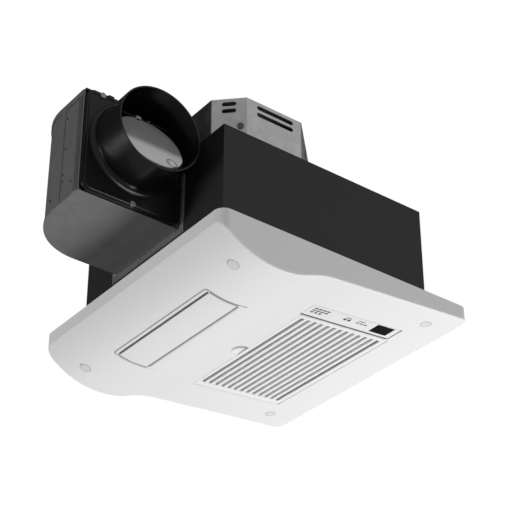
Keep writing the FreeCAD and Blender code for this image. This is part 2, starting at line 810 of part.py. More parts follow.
def build_outlet_frame():
    """Moulded frame of the outlet: its face follows the belly, its throat rises to the heater."""
    left = size.outlet_x - size.outlet_width / 2
    right = left + size.outlet_width
    top = -size.outlet_gasket_height
    belly = Vector(wave.belly.x, wave.belly.z, 0)
    start = math.asin((left - belly.x) / size.belly_radius) - math.pi / 2
    end = math.asin((right - belly.x) / size.belly_radius) - math.pi / 2
    face = Part.ArcOfCircle(Part.Circle(belly, UP, size.belly_radius), start, end)
    corner_right = Vector(right, top, 0)
    corner_left = Vector(left, top, 0)
    section = [face, Part.LineSegment(face.EndPoint, corner_right),
               Part.LineSegment(corner_right, corner_left), Part.LineSegment(corner_left, face.StartPoint)]
    block = new_body("outlet_block")
    pad(block, section, "outlet_length", "XZ_Plane", both_ways=True)
    round_edges(block, is_upright, "outlet_corner")
    lip = new_body("outlet_inner_lip")
    lip_base = size.panel_wall + size.screw_gap
    pad(lip, belly_band(left - size.outlet_lip, right + size.outlet_lip, lip_base,
                        lip_base + size.outlet_lip_thickness),
        "2 * throat_half", "XZ_Plane", both_ways=True)
    posts = []
    post_holes = []
    for side in (-1, 1):
        base = (f"pivot_x + {side} * stepper_ear_reach", "outlet_length / 2 - outlet_end_wall",
                "pivot_z + gear_distance")
        posts.append(rod(f"stepper_post_{side + 1}", base, "stepper_ear_radius",
                         "stepper_y - outlet_length / 2 + outlet_end_wall", "Y"))
        post_holes.append(rod(f"stepper_post_hole_{side + 1}", base, "stepper_screw_radius + screw_gap",
                              "stepper_y", "Y"))
    throat = box("outlet_throat", ("throat_left", "-throat_half", "-2 * belly_depth"),
                 ("throat_right - throat_left", "2 * throat_half", "3 * belly_depth"))
    bush_hole = rod("outlet_bush_hole", ("pivot_x", "-outlet_length", "pivot_z"),
                    "louver_pin_radius + running_gap + bush_wall", "2 * outlet_length", "Y")
    solid = fuse("outlet_solid", block, lip, *posts)
    node(cut("outlet_cut", solid, throat, bush_hole, *post_holes), "outlet_frame")


def build_louver():
    """Curved vane with a lug and a pin at each end."""
    right = louver_left + size.louver_width
    vane = new_body("louver_vane")
    pad(vane, belly_band(louver_left, right, 0, size.louver_thickness),
        "2 * throat_half - 2 * louver_end_gap", "XZ_Plane", both_ways=True)
    round_edges(vane, lambda edge: edge.BoundBox.YLength > size.outlet_length / 2, "louver_thickness * 0.3")
    half = throat_half - size.louver_end_gap
    vane_inner = belly_z(pivot_x, size.louver_thickness / 2)
    parts = [vane]
    for side, reach in ((-1, size.outlet_length / 2 + size.bush_stand), (1, gear_y + size.gear_width)):
        inner_end = side * half - (size.louver_lug_thickness if side > 0 else 0)
        parts.append(rod(f"louver_lug_{side + 1}", (pivot_x, inner_end, pivot_z), "louver_lug_radius",
                         "louver_lug_thickness", "Y"))
        parts.append(box(f"louver_web_{side + 1}", ("pivot_x - louver_lug_radius", inner_end, vane_inner),
                         ("2 * louver_lug_radius", "louver_lug_thickness", f"pivot_z - ({vane_inner})")))
        start = half if side > 0 else -reach
        parts.append(rod(f"louver_pin_{side + 1}", (pivot_x, start, pivot_z), "louver_pin_radius",
                         reach - half, "Y"))
    node(fuse("louver_solid", *parts), "louver")


def build_louver_bushes():
    """Two plain bushes in the outlet's end walls, round the vane's pins."""
    bushes = []
    length = size.outlet_end_wall + size.bush_stand
    for start in (-size.outlet_length / 2, size.outlet_length / 2 - length):
        base = Vector(pivot_x, start, pivot_z)
        inner = size.louver_pin_radius + size.running_gap
        along = Vector(0, 1, 0)
        bushes.append(Part.makeCylinder(inner + size.bush_wall, length, base, along)
                      .cut(Part.makeCylinder(inner, length, base, along)))
    node(drawn("louver_bush_pair", Part.makeCompound(bushes)), "louver_bushes")


# A tooth's depth below and above the pitch circle, and half its width at root and tip, in modules
TOOTH_ROOT = 1.1
TOOTH_TIP = 0.75
TOOTH_ROOT_HALF = 0.62
TOOTH_TIP_HALF = 0.24


def tooth_points(middle, teeth):
    """Four corners of one straight-sided tooth about the angle middle, thin enough to run with backlash."""
    pitch_radius = size.gear_module * teeth / 2
    root = pitch_radius - TOOTH_ROOT * size.gear_module
    tip = pitch_radius + TOOTH_TIP * size.gear_module
    root_half = TOOTH_ROOT_HALF * size.gear_module / root
    tip_half = TOOTH_TIP_HALF * size.gear_module / tip
    return [(radius * math.cos(middle + turn), radius * math.sin(middle + turn))
            for radius, turn in ((root, -root_half), (tip, -tip_half), (tip, tip_half), (root, root_half))]


def build_louver_gear():
    """Toothed sector on the vane's far pin. A tooth stands straight up at rest, against the pinion."""
    step = 2 * math.pi / size.gear_teeth
    behind = 1
    ahead = math.ceil(math.radians(size.louver_swing) / step) + 1
    points = [(0.0, 0.0)]
    for tooth in range(-behind, ahead + 1):
        points += tooth_points(math.pi / 2 + tooth * step, size.gear_teeth)
    sector = new_body("louver_gear_sector")
    place(sector, ("pivot_x", "gear_y + gear_width", "pivot_z"))
    pad(sector, polygon(points), "gear_width", "XZ_Plane")
    hub = rod("louver_gear_hub", ("pivot_x", "gear_y", "pivot_z"), "gear_hub_radius", "gear_width", "Y")
    bore = rod("louver_gear_bore", ("pivot_x", "gear_y", "pivot_z"), "louver_pin_radius + running_gap",
               "gear_width", "Y")
    node(cut("louver_gear_cut", fuse("louver_gear_solid", sector, hub), bore), "louver_gear")


def build_louver_drive():
    """Pinion on the stepping motor's shaft, the motor with its two ears, and its screws."""
    step = 2 * math.pi / size.pinion_teeth
    points = []
    for tooth in range(size.pinion_teeth):
        points += tooth_points(-math.pi / 2 + (tooth + 0.5) * step, size.pinion_teeth)
    wheel = new_body("louver_pinion_wheel")
    place(wheel, ("pivot_x", "gear_y + gear_width", "pivot_z + gear_distance"))
    pad(wheel, polygon(points), "gear_width", "XZ_Plane")
    shaft = rod("louver_pinion_shaft", ("pivot_x", "gear_y", "pivot_z + gear_distance"),
                "stepper_shaft_radius",
                "stepper_y - gear_y + stepper_shaft_depth", "Y")
    node(fuse("louver_pinion_solid", wheel, shaft), "louver_pinion")
    axis = ("pivot_x", "stepper_y", "pivot_z + gear_distance")
    can = rod("stepper_can", axis, "stepper_radius", "stepper_length", "Y")
    ears = []
    holes = []
    for side in (-1, 1):
        base = (f"pivot_x + {side} * stepper_ear_reach", axis[1], axis[2])
        ears.append(rod(f"stepper_ear_{side + 1}", base, "stepper_ear_radius", "stepper_ear_thickness", "Y"))
        holes.append(rod(f"stepper_ear_hole_{side + 1}", base, "stepper_screw_radius + screw_gap",
                         "stepper_ear_thickness", "Y"))
    bore = rod("stepper_bore", axis, "stepper_shaft_radius + running_gap",
               "stepper_shaft_depth + stepper_ear_thickness", "Y")
    node(cut("stepper_cut", fuse("stepper_solid", can, *ears), bore, *holes), "louver_motor")
    screws = []
    seat_y = stepper_y + size.stepper_ear_thickness
    for side in (-1, 1):
        seat = Vector(pivot_x + side * size.stepper_ear_reach, seat_y, pivot_z + gear_distance)
        body = screw(seat, Vector(0, -1, 0), size.stepper_screw_radius, seat_y - size.outlet_length / 2,
                     size.stepper_screw_head, size.stepper_ear_thickness)
        clear = Part.makeCylinder(size.stepper_radius + size.screw_gap, size.stepper_length,
                                  Vector(pivot_x, stepper_y, pivot_z + gear_distance), Vector(0, 1, 0))
        screws.append(body.cut(clear))
    node(drawn("stepper_screw_pair", Part.makeCompound(screws)), "louver_motor_screws")


# Intake grille, filter and control strip, drawn flat and laid on the slope


def build_grille():
    """Slotted cover: round along its hinge edge, with a pin at each end of that edge."""
    thickness = size.grille_thickness
    depth = size.grille_far_y - size.grille_near_y
    hinge = grille_end - thickness / 2
    plate = Part.makeBox(hinge - size.grille_start, depth, thickness,
                         Vector(size.grille_start, size.grille_near_y, 0))
    along = Vector(0, 1, 0)
    edge = Part.makeCylinder(thickness / 2, depth, Vector(hinge, size.grille_near_y, thickness / 2), along)
    reach = size.grille_pin_length
    pin = Part.makeCylinder(size.grille_pin_radius, depth + 2 * reach,
                            Vector(hinge, size.grille_near_y - reach, thickness / 2), along)
    slots = []
    slot_length = depth - size.slot_near_margin - size.slot_far_margin
    for number in range(size.slot_count):
        start = size.grille_start + size.slot_first + number * size.slot_pitch
        slots.append(Part.makeBox(size.slot_width, slot_length, 3 * thickness,
                                  Vector(start, size.grille_near_y + size.slot_near_margin, -thickness)))
    shape = plate.multiFuse([edge, pin]).removeSplitter().cut(Part.makeCompound(slots))
    node(on_slope(drawn("grille_plate", shape)), "intake_grille")


def filter_limits():
    """Start, near end, width and depth of the filter on the grille's back."""
    start = size.grille_start + size.filter_margin
    near = size.grille_near_y + size.filter_margin
    width = size.grille_width - 3 * size.filter_margin
    depth = size.grille_far_y - size.grille_near_y - 2 * size.filter_margin
    return start, near, width, depth


def build_filter():
    """Filter that clips on the grille's back: a rim and a net."""
    start, near, width, depth = filter_limits()
    rim = size.filter_rim
    base = size.grille_thickness
    outer = Part.makeBox(width, depth, size.filter_height, Vector(start, near, base))
    inner = Part.makeBox(width - 2 * rim, depth - 2 * rim, 3 * size.filter_height,
                         Vector(start + rim, near + rim, base - size.filter_height))
    node(on_slope(drawn("filter_rim_solid", outer.cut(inner))), "filter_frame")
    columns = size.mesh_columns
    rows = size.mesh_rows
    pitch_x = (width - 2 * rim - size.mesh_bar) / columns
    pitch_y = (depth - 2 * rim - size.mesh_bar) / rows
    level = base + size.filter_height / 2
    border = polygon_wire(start + rim, near + rim, width - 2 * rim, depth - 2 * rim)
    holes = []
    for column in range(columns):
        for row_ in range(rows):
            holes.append(polygon_wire(start + rim + size.mesh_bar + column * pitch_x,
                                      near + rim + size.mesh_bar + row_ * pitch_y,
                                      pitch_x - size.mesh_bar, pitch_y - size.mesh_bar))
    face = Part.Face([border] + holes)
    face.validate()
    face.translate(Vector(0, 0, level))
    node(on_slope(drawn("filter_net", face.extrude(Vector(0, 0, size.mesh_thickness)))), "filter_mesh")


def polygon_wire(left, low, width, depth):
    """Closed rectangle as a wire."""
    corners = ((left, low), (left + width, low), (left + width, low + depth), (left, low + depth))
    return Part.Wire([line.toShape() for line in polygon(corners)])


def build_control_strip():
    """Flush strip, the dark receiver window let into it, and the small board behind the panel's skin."""
    start = size.strip_start
    near = size.strip_near_y
    low = -size.strip_proud
    plate = Part.makeBox(size.strip_width, size.strip_depth, size.strip_thickness, Vector(start, near, low))
    window_near = near + size.window_near_margin
    hole = Part.makeBox(size.window_width, size.window_depth, 3 * size.strip_thickness,
                        Vector(size.window_start, window_near, low - size.strip_thickness))
    node(on_slope(drawn("control_strip_plate", plate.cut(hole))), "control_strip")
    gap = size.strip_gap / 2
    window = Part.makeBox(size.window_width - 2 * gap, size.window_depth - 2 * gap, size.strip_thickness,
                          Vector(size.window_start + gap, window_near + gap, low))
    node(on_slope(drawn("receiver_window_pane", window)), "receiver_window")
    board_start = start + size.display_board_inset - size.display_post_radius
    board = Part.makeBox(size.strip_width - 2 * (size.display_board_inset - size.display_post_radius),
                         size.strip_depth, size.board_thickness,
                         Vector(board_start, near, size.panel_wall + size.display_post_height))
    node(on_slope(drawn("display_board_plate", board)), "display_board")


# Casing


def cover_corners():
    """The motor cover's four slanted walls: middle of each wall on the casing, way out, and way along it."""
    corners = []
    for side_x in (-1, 1):
        chamfer = size.cover_duct_chamfer if side_x < 0 else size.cover_far_chamfer
        for side_y in (-1, 1):
            middle = Vector(size.fan_x + side_x * (size.cover_half_width - chamfer / 2),
                            size.fan_y + side_y * (size.cover_half_depth - chamfer / 2), size.casing_height)
            outward = Vector(side_x, side_y, 0).normalize()
            along = Vector(-side_x, side_y, 0).normalize()
            corners.append((middle, outward, along))
    return corners


def casing_wall(name, wall_corner, wall_extent, flange_corner, flange_extent, holes):
    """One upright sheet of the casing with its foot folded outwards, and the holes through both."""
    wall = box(f"{name}_wall", wall_corner, wall_extent)
    flange = box(f"{name}_flange", flange_corner, flange_extent)
    return cut(name, fuse(f"{name}_sheet", wall, flange), *holes)


def build_casing():
    """Black box of five welded steel sheets, open below; the feet of the walls make the ceiling flange."""
    height = "casing_height + flange_thickness"
    panel_holes = {-1: [], 1: []}
    ceiling_holes = {-1: [], 1: []}
    for number, (x, y, seat) in enumerate(cap_places()):
        hole = rod(f"flange_panel_hole_{number}", (x, y, "-2 * flange_thickness"),
                   "panel_screw_radius + screw_gap", "3 * flange_thickness")
        panel_holes[1 if y > 0 else -1].append(hole)
    for side_x in (-1, 1):
        for side_y in (-1, 1):
            hole = rod(f"flange_ceiling_hole_{side_x + 1}{side_y + 1}",
                       (f"{side_x} * (half_width + flange_reach - ceiling_hole_inset)",
                        f"{side_y} * ceiling_hole_spacing / 2", "-2 * flange_thickness"),
                       "ceiling_hole_radius", "3 * flange_thickness")
            ceiling_holes[side_x].append(hole)
    port = exhaust_port("casing_port", "-half_width - sheet", "3 * sheet")
    entry = rod("casing_cable_hole", ("half_width - 2 * sheet", "grommet_y", "grommet_z"), "grommet_neck",
                "3 * sheet", "X")
    sheets = []
    for side, wall_y, flange_y in ((-1, "-half_depth", "-half_depth - flange_reach"),
                                   (1, "half_depth - sheet", "half_depth")):
        sheets.append(casing_wall(f"casing_long_{side + 1}", ("-half_width", wall_y, "-flange_thickness"),
                                  ("casing_width", "sheet", height),
                                  ("-half_width - flange_reach", flange_y, "-flange_thickness"),
                                  ("casing_width + 2 * flange_reach", "flange_reach", "flange_thickness"),
                                  panel_holes[side]))
    for side, wall_x, flange_x, way in ((-1, "-half_width", "-half_width - flange_reach", port),
                                        (1, "half_width - sheet", "half_width", entry)):
        sheets.append(casing_wall(f"casing_end_{side + 1}",
                                  (wall_x, "-half_depth + sheet", "-flange_thickness"),
                                  ("sheet", "casing_depth - 2 * sheet", height),
                                  (flange_x, "-half_depth", "-flange_thickness"),
                                  ("flange_reach", "casing_depth", "flange_thickness"),
                                  [way, *ceiling_holes[side]]))
    lid = box("casing_lid", ("inner_left", "-half_depth + sheet", "inner_top"),
              ("casing_width - 2 * sheet", "casing_depth - 2 * sheet", "sheet"))
    motor_hole = rod("casing_motor_hole", ("fan_x", "fan_y", "inner_top - sheet"), "motor_hole_radius",
                     "3 * sheet")
    sheets.append(cut("casing_top", lid, motor_hole))
    casing = doc.addObject("Part::Compound", "casing_sheets")
    casing.Links = sheets
    node(casing, "casing")


def build_cover_lugs():
    """Small angle brackets on the casing's top, one behind each slanted wall of the motor cover."""
    lugs = []
    thickness = size.sheet
    for middle, outward, along in cover_corners():
        foot = middle + along * size.cover_screw_offset
        upright = Part.makeBox(thickness, size.lug_width, size.lug_height,
                               Vector(-2 * thickness, -size.lug_width / 2, 0))
        base = Part.makeBox(size.lug_foot, size.lug_width, thickness,
                            Vector(-thickness - size.lug_foot, -size.lug_width / 2, 0))
        bracket = upright.fuse(base).removeSplitter()
        bracket.Placement = FreeCAD.Placement(foot, FreeCAD.Rotation(Vector(1, 0, 0), outward))
        hole = Part.makeCylinder(size.cover_screw_radius + size.screw_gap, 8 * thickness,
                                 foot - outward * 4 * thickness + UP * size.cover_screw_rise, outward)
        lugs.append(bracket.cut(hole))
    node(drawn("cover_lug_set", Part.makeCompound(lugs)), "cover_lugs")


def exhaust_port(name, start, length):
    """Cutter for the rectangular way from the flap chamber out to the elbow."""
    return box(name, (start, "chamber_near + port_margin", "scroll_floor + port_base_rise"),
               (length, "chamber_far - chamber_near - 2 * port_margin",
                "inner_top - scroll_wall - port_top_drop - scroll_floor - port_base_rise"))


def cover_plan(inset):
    """Eight-sided plan of the motor cover, moved inwards by inset."""
    left = size.fan_x - size.cover_half_width + inset
    right = size.fan_x + size.cover_half_width - inset
    near = size.fan_y - size.cover_half_depth + inset
    far = size.fan_y + size.cover_half_depth - inset
    shrink = inset * (2 - math.sqrt(2))
    duct = size.cover_duct_chamfer - shrink
    rest = size.cover_far_chamfer - shrink
    return polygon(((left, near + duct), (left + duct, near), (right - rest, near), (right, near + rest),
                    (right, far - rest), (right - rest, far), (left + duct, far), (left, far - duct)))


def slot_cutter(middle, outward, length):
    """Two level cooling slots through a wall, about a point of it at the cover's top."""
    cutters = []
    depth = 6 * size.sheet
    radius = size.cover_slot_height / 2
    straight = length - 2 * radius
    for number in range(2):
        start = Vector(-depth / 2, -straight / 2, -size.cover_slot_drop - number * size.cover_slot_pitch)
        cutter = Part.makeBox(depth, straight, 2 * radius, start - UP * radius)
        for end in (start, start + Vector(0, straight, 0)):
            cutter = cutter.fuse(Part.makeCylinder(radius, depth, end, Vector(1, 0, 0)))
        cutter.Placement = FreeCAD.Placement(middle, FreeCAD.Rotation(Vector(1, 0, 0), outward))
        cutters.append(cutter)
    return cutters


def build_motor_cover():
    """Galvanised eight-sided cover with cooling slots, and the screws through its four slanted walls."""
    cover = new_body("motor_cover_shell")
    pad(cover, cover_plan(0), "cover_height", offset="casing_height")
    pocket(cover, cover_plan(size.sheet), "cover_height - sheet", offset="casing_height", upwards=True)
    rise = UP * size.cover_height
    cutters = []
    screws = []
    screw_holes = []
    for middle, outward, along in cover_corners():
        cutters += slot_cutter(middle + rise, outward, size.cover_slot_short)
        seat = middle + along * size.cover_screw_offset + UP * size.cover_screw_rise
        screws.append(screw(seat, -outward, size.cover_screw_radius, 4 * size.sheet,
                            size.cover_screw_head, size.cover_screw_head_height))
        screw_holes.append(Part.makeCylinder(size.cover_screw_radius + size.screw_gap, 4 * size.sheet,
                                             seat - outward * 2 * size.sheet, outward))
    long_x = size.fan_x + (size.cover_duct_chamfer - size.cover_far_chamfer) / 2 + size.cover_slot_offset
    for side_y in (-1, 1):
        middle = Vector(long_x, size.fan_y + side_y * size.cover_half_depth, size.casing_height)
        cutters += slot_cutter(middle + rise, Vector(0, side_y, 0), size.cover_slot_long)
    slots = drawn("motor_cover_slots", Part.makeCompound(cutters + screw_holes))
    node(cut("motor_cover_cut", cover, slots), "motor_cover")
    node(drawn("motor_cover_screw_set", Part.makeCompound(screws)), "cover_screws")


# Duct elbow, collar and backdraft flap


def elbow_plan(inset):
    """Plan of the elbow: a straight front and side, a quarter turn, and a straight run to the casing."""
    right = -half_width - inset
    left = elbow_left + inset
    near = size.elbow_near_y + inset
    far = size.elbow_far_y - inset
    radius = size.elbow_turn_radius - inset
    centre = Vector(left + radius, far - radius, 0)
    turn = Part.ArcOfCircle(Part.Circle(centre, UP, radius), math.pi / 2, math.pi)
    corner_near_right = Vector(right, near, 0)
    corner_near_left = Vector(left, near, 0)
    corner_far_right = Vector(right, far, 0)
    return [turn, Part.LineSegment(turn.EndPoint, corner_near_left),
            Part.LineSegment(corner_near_left, corner_near_right),
            Part.LineSegment(corner_near_right, corner_far_right),
            Part.LineSegment(corner_far_right, turn.StartPoint)]


def elbow_screw_places():
    """Heights of the screws in the elbow's two tabs."""
    third = size.elbow_tab_height / 3
    return (size.elbow_base_z + third / 2, size.elbow_base_z + size.elbow_tab_height - third / 2)


def collar_screw_places():
    """Places of the collar plate's screws: one below the collar and one in each upper corner."""
    low = size.elbow_base_z + size.collar_screw_inset
    high = size.elbow_base_z + size.elbow_height - size.collar_screw_inset
    offset = size.collar_screw_offset
    return ((collar_x, low), (collar_x - offset, high), (collar_x + offset, high))


def build_elbow():
    """Sheet-steel elbow housing with a tab on each side against the casing, and the tabs' screws."""
    shell = new_body("elbow_shell")
    pad(shell, elbow_plan(0), "elbow_height", offset="elbow_base_z")
    hollow = new_body("elbow_hollow")
    pad(hollow, elbow_plan(size.sheet), "elbow_height - 2 * sheet", offset="elbow_base_z + sheet")
    front = box("elbow_front_opening", ("elbow_left + elbow_front_rim", "elbow_near_y - sheet",
                                        "elbow_base_z + elbow_front_rim"),
                ("elbow_reach - 2 * elbow_front_rim", "3 * sheet", "elbow_height - 2 * elbow_front_rim"))
    port = exhaust_port("elbow_port", "-half_width - 2 * sheet", "3 * sheet")
    tabs = []
    holes = []
    screws = []
    tabs.append(box("elbow_foot_strip", ("-half_width - sheet", "elbow_near_y - elbow_tab",
                                         "elbow_base_z - elbow_foot"),
                    ("sheet", "elbow_depth + 2 * elbow_tab", "elbow_foot + sheet")))
    for number, y in enumerate((size.elbow_near_y - size.elbow_tab, size.elbow_far_y)):
        tabs.append(box(f"elbow_tab_{number}", ("-half_width - sheet", y, "elbow_base_z"),
                        ("sheet", "elbow_tab", "elbow_tab_height")))
        for level, z in enumerate(elbow_screw_places()):
            middle_y = y + size.elbow_tab / 2
            holes.append(rod(f"elbow_tab_hole_{number}{level}", ("-half_width - 2 * sheet", middle_y, z),
                             "elbow_screw_radius + screw_gap", "4 * sheet", "X"))
            screws.append(screw(Vector(-half_width - size.sheet, middle_y, z), Vector(1, 0, 0),
                                size.elbow_screw_radius, size.sheet, size.elbow_screw_head,
                                size.elbow_screw_height))
    for number, (x, z) in enumerate(collar_screw_places()):
        holes.append(rod(f"elbow_collar_hole_{number}", (x, "elbow_near_y - sheet", z),
                         "elbow_screw_radius + screw_gap", "3 * sheet", "Y"))
    solid = fuse("elbow_solid", shell, *tabs)
    node(cut("elbow_cut", solid, hollow, front, port, *holes), "duct_elbow")
    node(drawn("elbow_screw_set", Part.makeCompound(screws)), "elbow_screws")


def flap_place():
    """Placement of the flap's own frame: its axis along X, its plane leaning out at the bottom."""
    turn = FreeCAD.Rotation(Vector(1, 0, 0), -size.flap_lean)
    return FreeCAD.Placement(Vector(collar_x, flap_y, flap_z), turn)


def long_round(radius, start, depth):
    """Round plate in the flap's own frame, lengthened downwards, from a distance along Y."""
    along = Vector(0, 1, 0)
    lowest = -size.flap_centre_drop - size.flap_stretch
    upper = Part.makeCylinder(radius, depth, Vector(0, start, -size.flap_centre_drop), along)
    lower = Part.makeCylinder(radius, depth, Vector(0, start, lowest), along)
    middle = Part.makeBox(2 * radius, depth, size.flap_stretch, Vector(-radius, start, lowest))
    return upper.fuse(middle).fuse(lower).removeSplitter()


def seat_ring():
    """Leaning plate across the collar, with the long round opening that the flap lies on."""
    bore = size.collar_radius - size.collar_wall
    start = size.flap_thickness / 2 + size.damper_seat_gap
    along = Vector(0, 1, 0)
    outer = Part.makeCylinder(2 * bore, size.seat_thickness, Vector(0, start, -size.flap_centre_drop), along)
    inner = long_round(size.flap_radius - size.seat_lap, start, size.seat_thickness)
    lower = Part.makeBox(4 * bore, 4 * bore, 4 * bore,
                         Vector(-2 * bore, -2 * bore, -size.seat_drop - 4 * bore))
    seat = outer.cut(inner).common(lower)
    seat.Placement = flap_place()
    within = Part.makeCylinder(size.collar_radius - size.collar_wall / 2, 4 * bore,
                               Vector(collar_x, collar_tip, collar_z), along)
    return seat.common(within)


def build_collar():
    """Black moulded plate that runs into the round duct collar, with the flap's seat inside."""
    plate = new_body("collar_plate_body")
    margin = size.collar_plate_margin
    low = size.elbow_base_z + margin
    high = size.elbow_base_z + size.elbow_height - margin
    pad(plate, rounded_rectangle(elbow_left + margin, low, -half_width - size.collar_plate_side, high,
                                 size.collar_plate_corner),
        "collar_plate", "XZ_Plane", offset="-elbow_near_y")
    tube = rod("collar_tube", ("collar_x", "collar_tip", "collar_z"), "collar_radius",
               "collar_length + collar_plate", "Y")
    root = size.collar_root_round
    foot_y = size.elbow_near_y - size.collar_plate
    radius = size.collar_radius
    turn = Part.Arc(Vector(radius, -root, 0),
                    Vector(radius + root * (1 - math.sqrt(0.5)), -root * (1 - math.sqrt(0.5)), 0),
                    Vector(radius + root, 0, 0))
    profile = [turn.toShape(), Part.makeLine(Vector(radius + root, 0, 0), Vector(radius - 1, 0, 0)),
               Part.makeLine(Vector(radius - 1, 0, 0), Vector(radius - 1, -root, 0)),
               Part.makeLine(Vector(radius - 1, -root, 0), Vector(radius, -root, 0))]
    flare = Part.Face(Part.Wire(profile)).revolve(Vector(), Vector(0, 1, 0), 360)
    inside_plate = Part.makeBox(size.elbow_reach - margin - size.collar_plate_side, 2 * root, high - low,
                                Vector(elbow_left + margin - collar_x, -root, low - collar_z))
    flare_item = drawn("collar_flare", flare.common(inside_plate))
    place(flare_item, (collar_x, foot_y, collar_z))
    bore = rod("collar_bore", ("collar_x", "collar_tip", "collar_z"), "collar_radius - collar_wall",
               "collar_length + 2 * collar_plate", "Y")
    holes = []
    screws = []
    for number, (x, z) in enumerate(collar_screw_places()):
        holes.append(rod(f"collar_screw_hole_{number}", (x, "elbow_near_y - 2 * collar_plate", z),
                         "elbow_screw_radius + screw_gap", "3 * collar_plate", "Y"))
        screws.append(screw(Vector(x, foot_y, z), Vector(0, 1, 0), size.elbow_screw_radius,
                            size.collar_plate + 2 * size.sheet, size.elbow_screw_head,
                            size.elbow_screw_height))
    pin_hole = rod("collar_pin_hole", ("collar_x - collar_radius", "flap_y", "flap_z"), "flap_pin_radius",
                   "2 * collar_radius", "X")
    hollowed = cut("collar_hollowed", fuse("collar_solid", plate, tube, flare_item), bore, *holes)
    seated = fuse("collar_seated", hollowed, drawn("collar_seat", seat_ring()))
    node(cut("collar_cut", seated, pin_hole), "duct_collar")
    node(drawn("collar_screw_set", Part.makeCompound(screws)), "collar_screws")


def build_backdraft():
    """Light rounded flap with two rolled eyes on a fixed pin, and the pin."""
    half = size.flap_thickness / 2
    disc = long_round(size.flap_radius, -half, size.flap_thickness)
    clear_pin = Part.makeBox(4 * size.flap_radius, 4 * size.flap_eye_radius, 2 * size.flap_eye_radius,
                             Vector(-2 * size.flap_radius, -2 * size.flap_eye_radius, -size.flap_eye_radius))
    shape = disc.cut(clear_pin)
    for side in (-1, 1):
        middle = side * size.flap_eye_spacing / 2
        eye = Part.makeCylinder(size.flap_eye_radius, size.flap_eye_width,
                                Vector(middle - size.flap_eye_width / 2, 0, 0), Vector(1, 0, 0))
        leaf = Part.makeBox(size.flap_eye_width, size.flap_thickness, 3 * size.flap_eye_radius,
                            Vector(middle - size.flap_eye_width / 2, -half, -3 * size.flap_eye_radius))
        shape = shape.fuse(eye).fuse(leaf)
    bore = Part.makeCylinder(size.flap_pin_radius + size.running_gap, 4 * size.flap_radius,
                             Vector(-2 * size.flap_radius, 0, 0), Vector(1, 0, 0))
    flap = drawn("backdraft_flap_plate", shape.cut(bore).removeSplitter())
    flap.Placement = flap_place()
    node(flap, "backdraft_flap")
    reach = math.sqrt((size.collar_radius - size.collar_wall / 2) ** 2 - size.flap_axis_rise ** 2)
    pin = rod("backdraft_pin_rod", (collar_x - reach, "flap_y", "flap_z"), "flap_pin_radius", 2 * reach, "X")
    node(pin, "backdraft_pin")


# Fan


def spiral(extra):
    """Scroll curve about the fan's axis, widened by extra."""
    points = []
    steps = 24
    for step in range(steps + 1):
        angle = tongue_angle + step / steps * (scroll_end_angle - tongue_angle)
        radius = scroll_radius(angle) + extra
        points.append(Vector(size.fan_x + radius * math.cos(angle), size.fan_y + radius * math.sin(angle), 0))
    curve = Part.BSplineCurve()
    curve.interpolate(points)
    return curve


def scroll_prism(extra, base_z, height):
    """Upright solid over the scroll's drum and the flap chamber beside it, widened by extra."""
    curve = spiral(extra)
    drum = prism([curve, Part.LineSegment(curve.EndPoint, curve.StartPoint)], base_z, height)
    near = chamber_near - extra
    chamber = Part.makeBox(size.fan_x - inner_left, chamber_far + extra - near, height,
                           Vector(inner_left, near, base_z))
    return drum.fuse(chamber).removeSplitter()


def duct_opening(name, base, height):
    """Cutter for the way down from the flap chamber to the heater duct."""
    return box(name, ("duct_left + sheet", "chamber_near + duct_opening_margin", base),
               ("duct_opening_x_end - duct_left - sheet",
                "chamber_far - chamber_near - 2 * duct_opening_margin", height))


def build_scroll():
    """Fan scroll with the flap chamber in one piece, its lid and the inlet ring."""
    wall = size.scroll_wall
    outer = scroll_prism(wall, scroll_base, size.scroll_height - wall)
    inner = scroll_prism(0, scroll_floor, size.scroll_height)
    shell = drawn("scroll_shell", outer.cut(inner))
    lip_height = size.damper_axis_rise - size.damper_thickness / 2 - size.damper_seat_gap
    lip = box("scroll_lip", ("duct_left", "chamber_near + duct_opening_margin - sheet", "scroll_base"),
              ("duct_opening_x_end - duct_left + sheet",
               "chamber_far - chamber_near - 2 * duct_opening_margin + 2 * sheet",
               f"scroll_wall + {lip_height}"))
    inlet = rod("scroll_inlet", ("fan_x", "fan_y", "scroll_base - scroll_wall"),
                "inlet_radius + scroll_wall + screw_gap",
                "3 * scroll_wall")
    opening = duct_opening("scroll_duct_opening", "scroll_base - scroll_wall", "4 * damper_axis_rise")
    pin_hole = rod("scroll_pin_hole", ("damper_x", "chamber_near - 2 * scroll_wall", "damper_z"),
                   "damper_pin_radius + running_gap",
                   "chamber_far - chamber_near + 4 * scroll_wall", "Y")
    screw_holes = [rod(f"scroll_screw_hole_{number}", (x, "chamber_far - scroll_wall", z),
                       "elbow_screw_radius + screw_gap", "4 * scroll_wall", "Y")
                   for number, (x, z) in enumerate(damper_screw_places())]
    node(cut("scroll_cut", fuse("scroll_solid", shell, lip), inlet, opening, pin_hole, *screw_holes),
         "fan_scroll")
    lid = drawn("scroll_lid_plate", scroll_prism(wall, inner_top - wall, wall))
    lid_hole = rod("scroll_lid_hole", ("fan_x", "fan_y", "inner_top - 2 * scroll_wall"), "motor_hole_radius",
                   "3 * scroll_wall")
    node(cut("scroll_lid_cut", lid, lid_hole), "scroll_lid")
    flange = rod("inlet_flange_disc", ("fan_x", "fan_y", "scroll_base - scroll_wall"),
                 "inlet_radius + inlet_flange",
                 "scroll_wall")
    neck = rod("inlet_neck", ("fan_x", "fan_y", "scroll_base - scroll_wall"), "inlet_radius + scroll_wall",
               "2 * scroll_wall + inlet_lip_height")
    throat = rod("inlet_throat", ("fan_x", "fan_y", "scroll_base - 2 * scroll_wall"), "inlet_radius",
                 "4 * scroll_wall + inlet_lip_height")
    node(cut("inlet_cut", fuse("inlet_solid", flange, neck), throat), "inlet_ring")


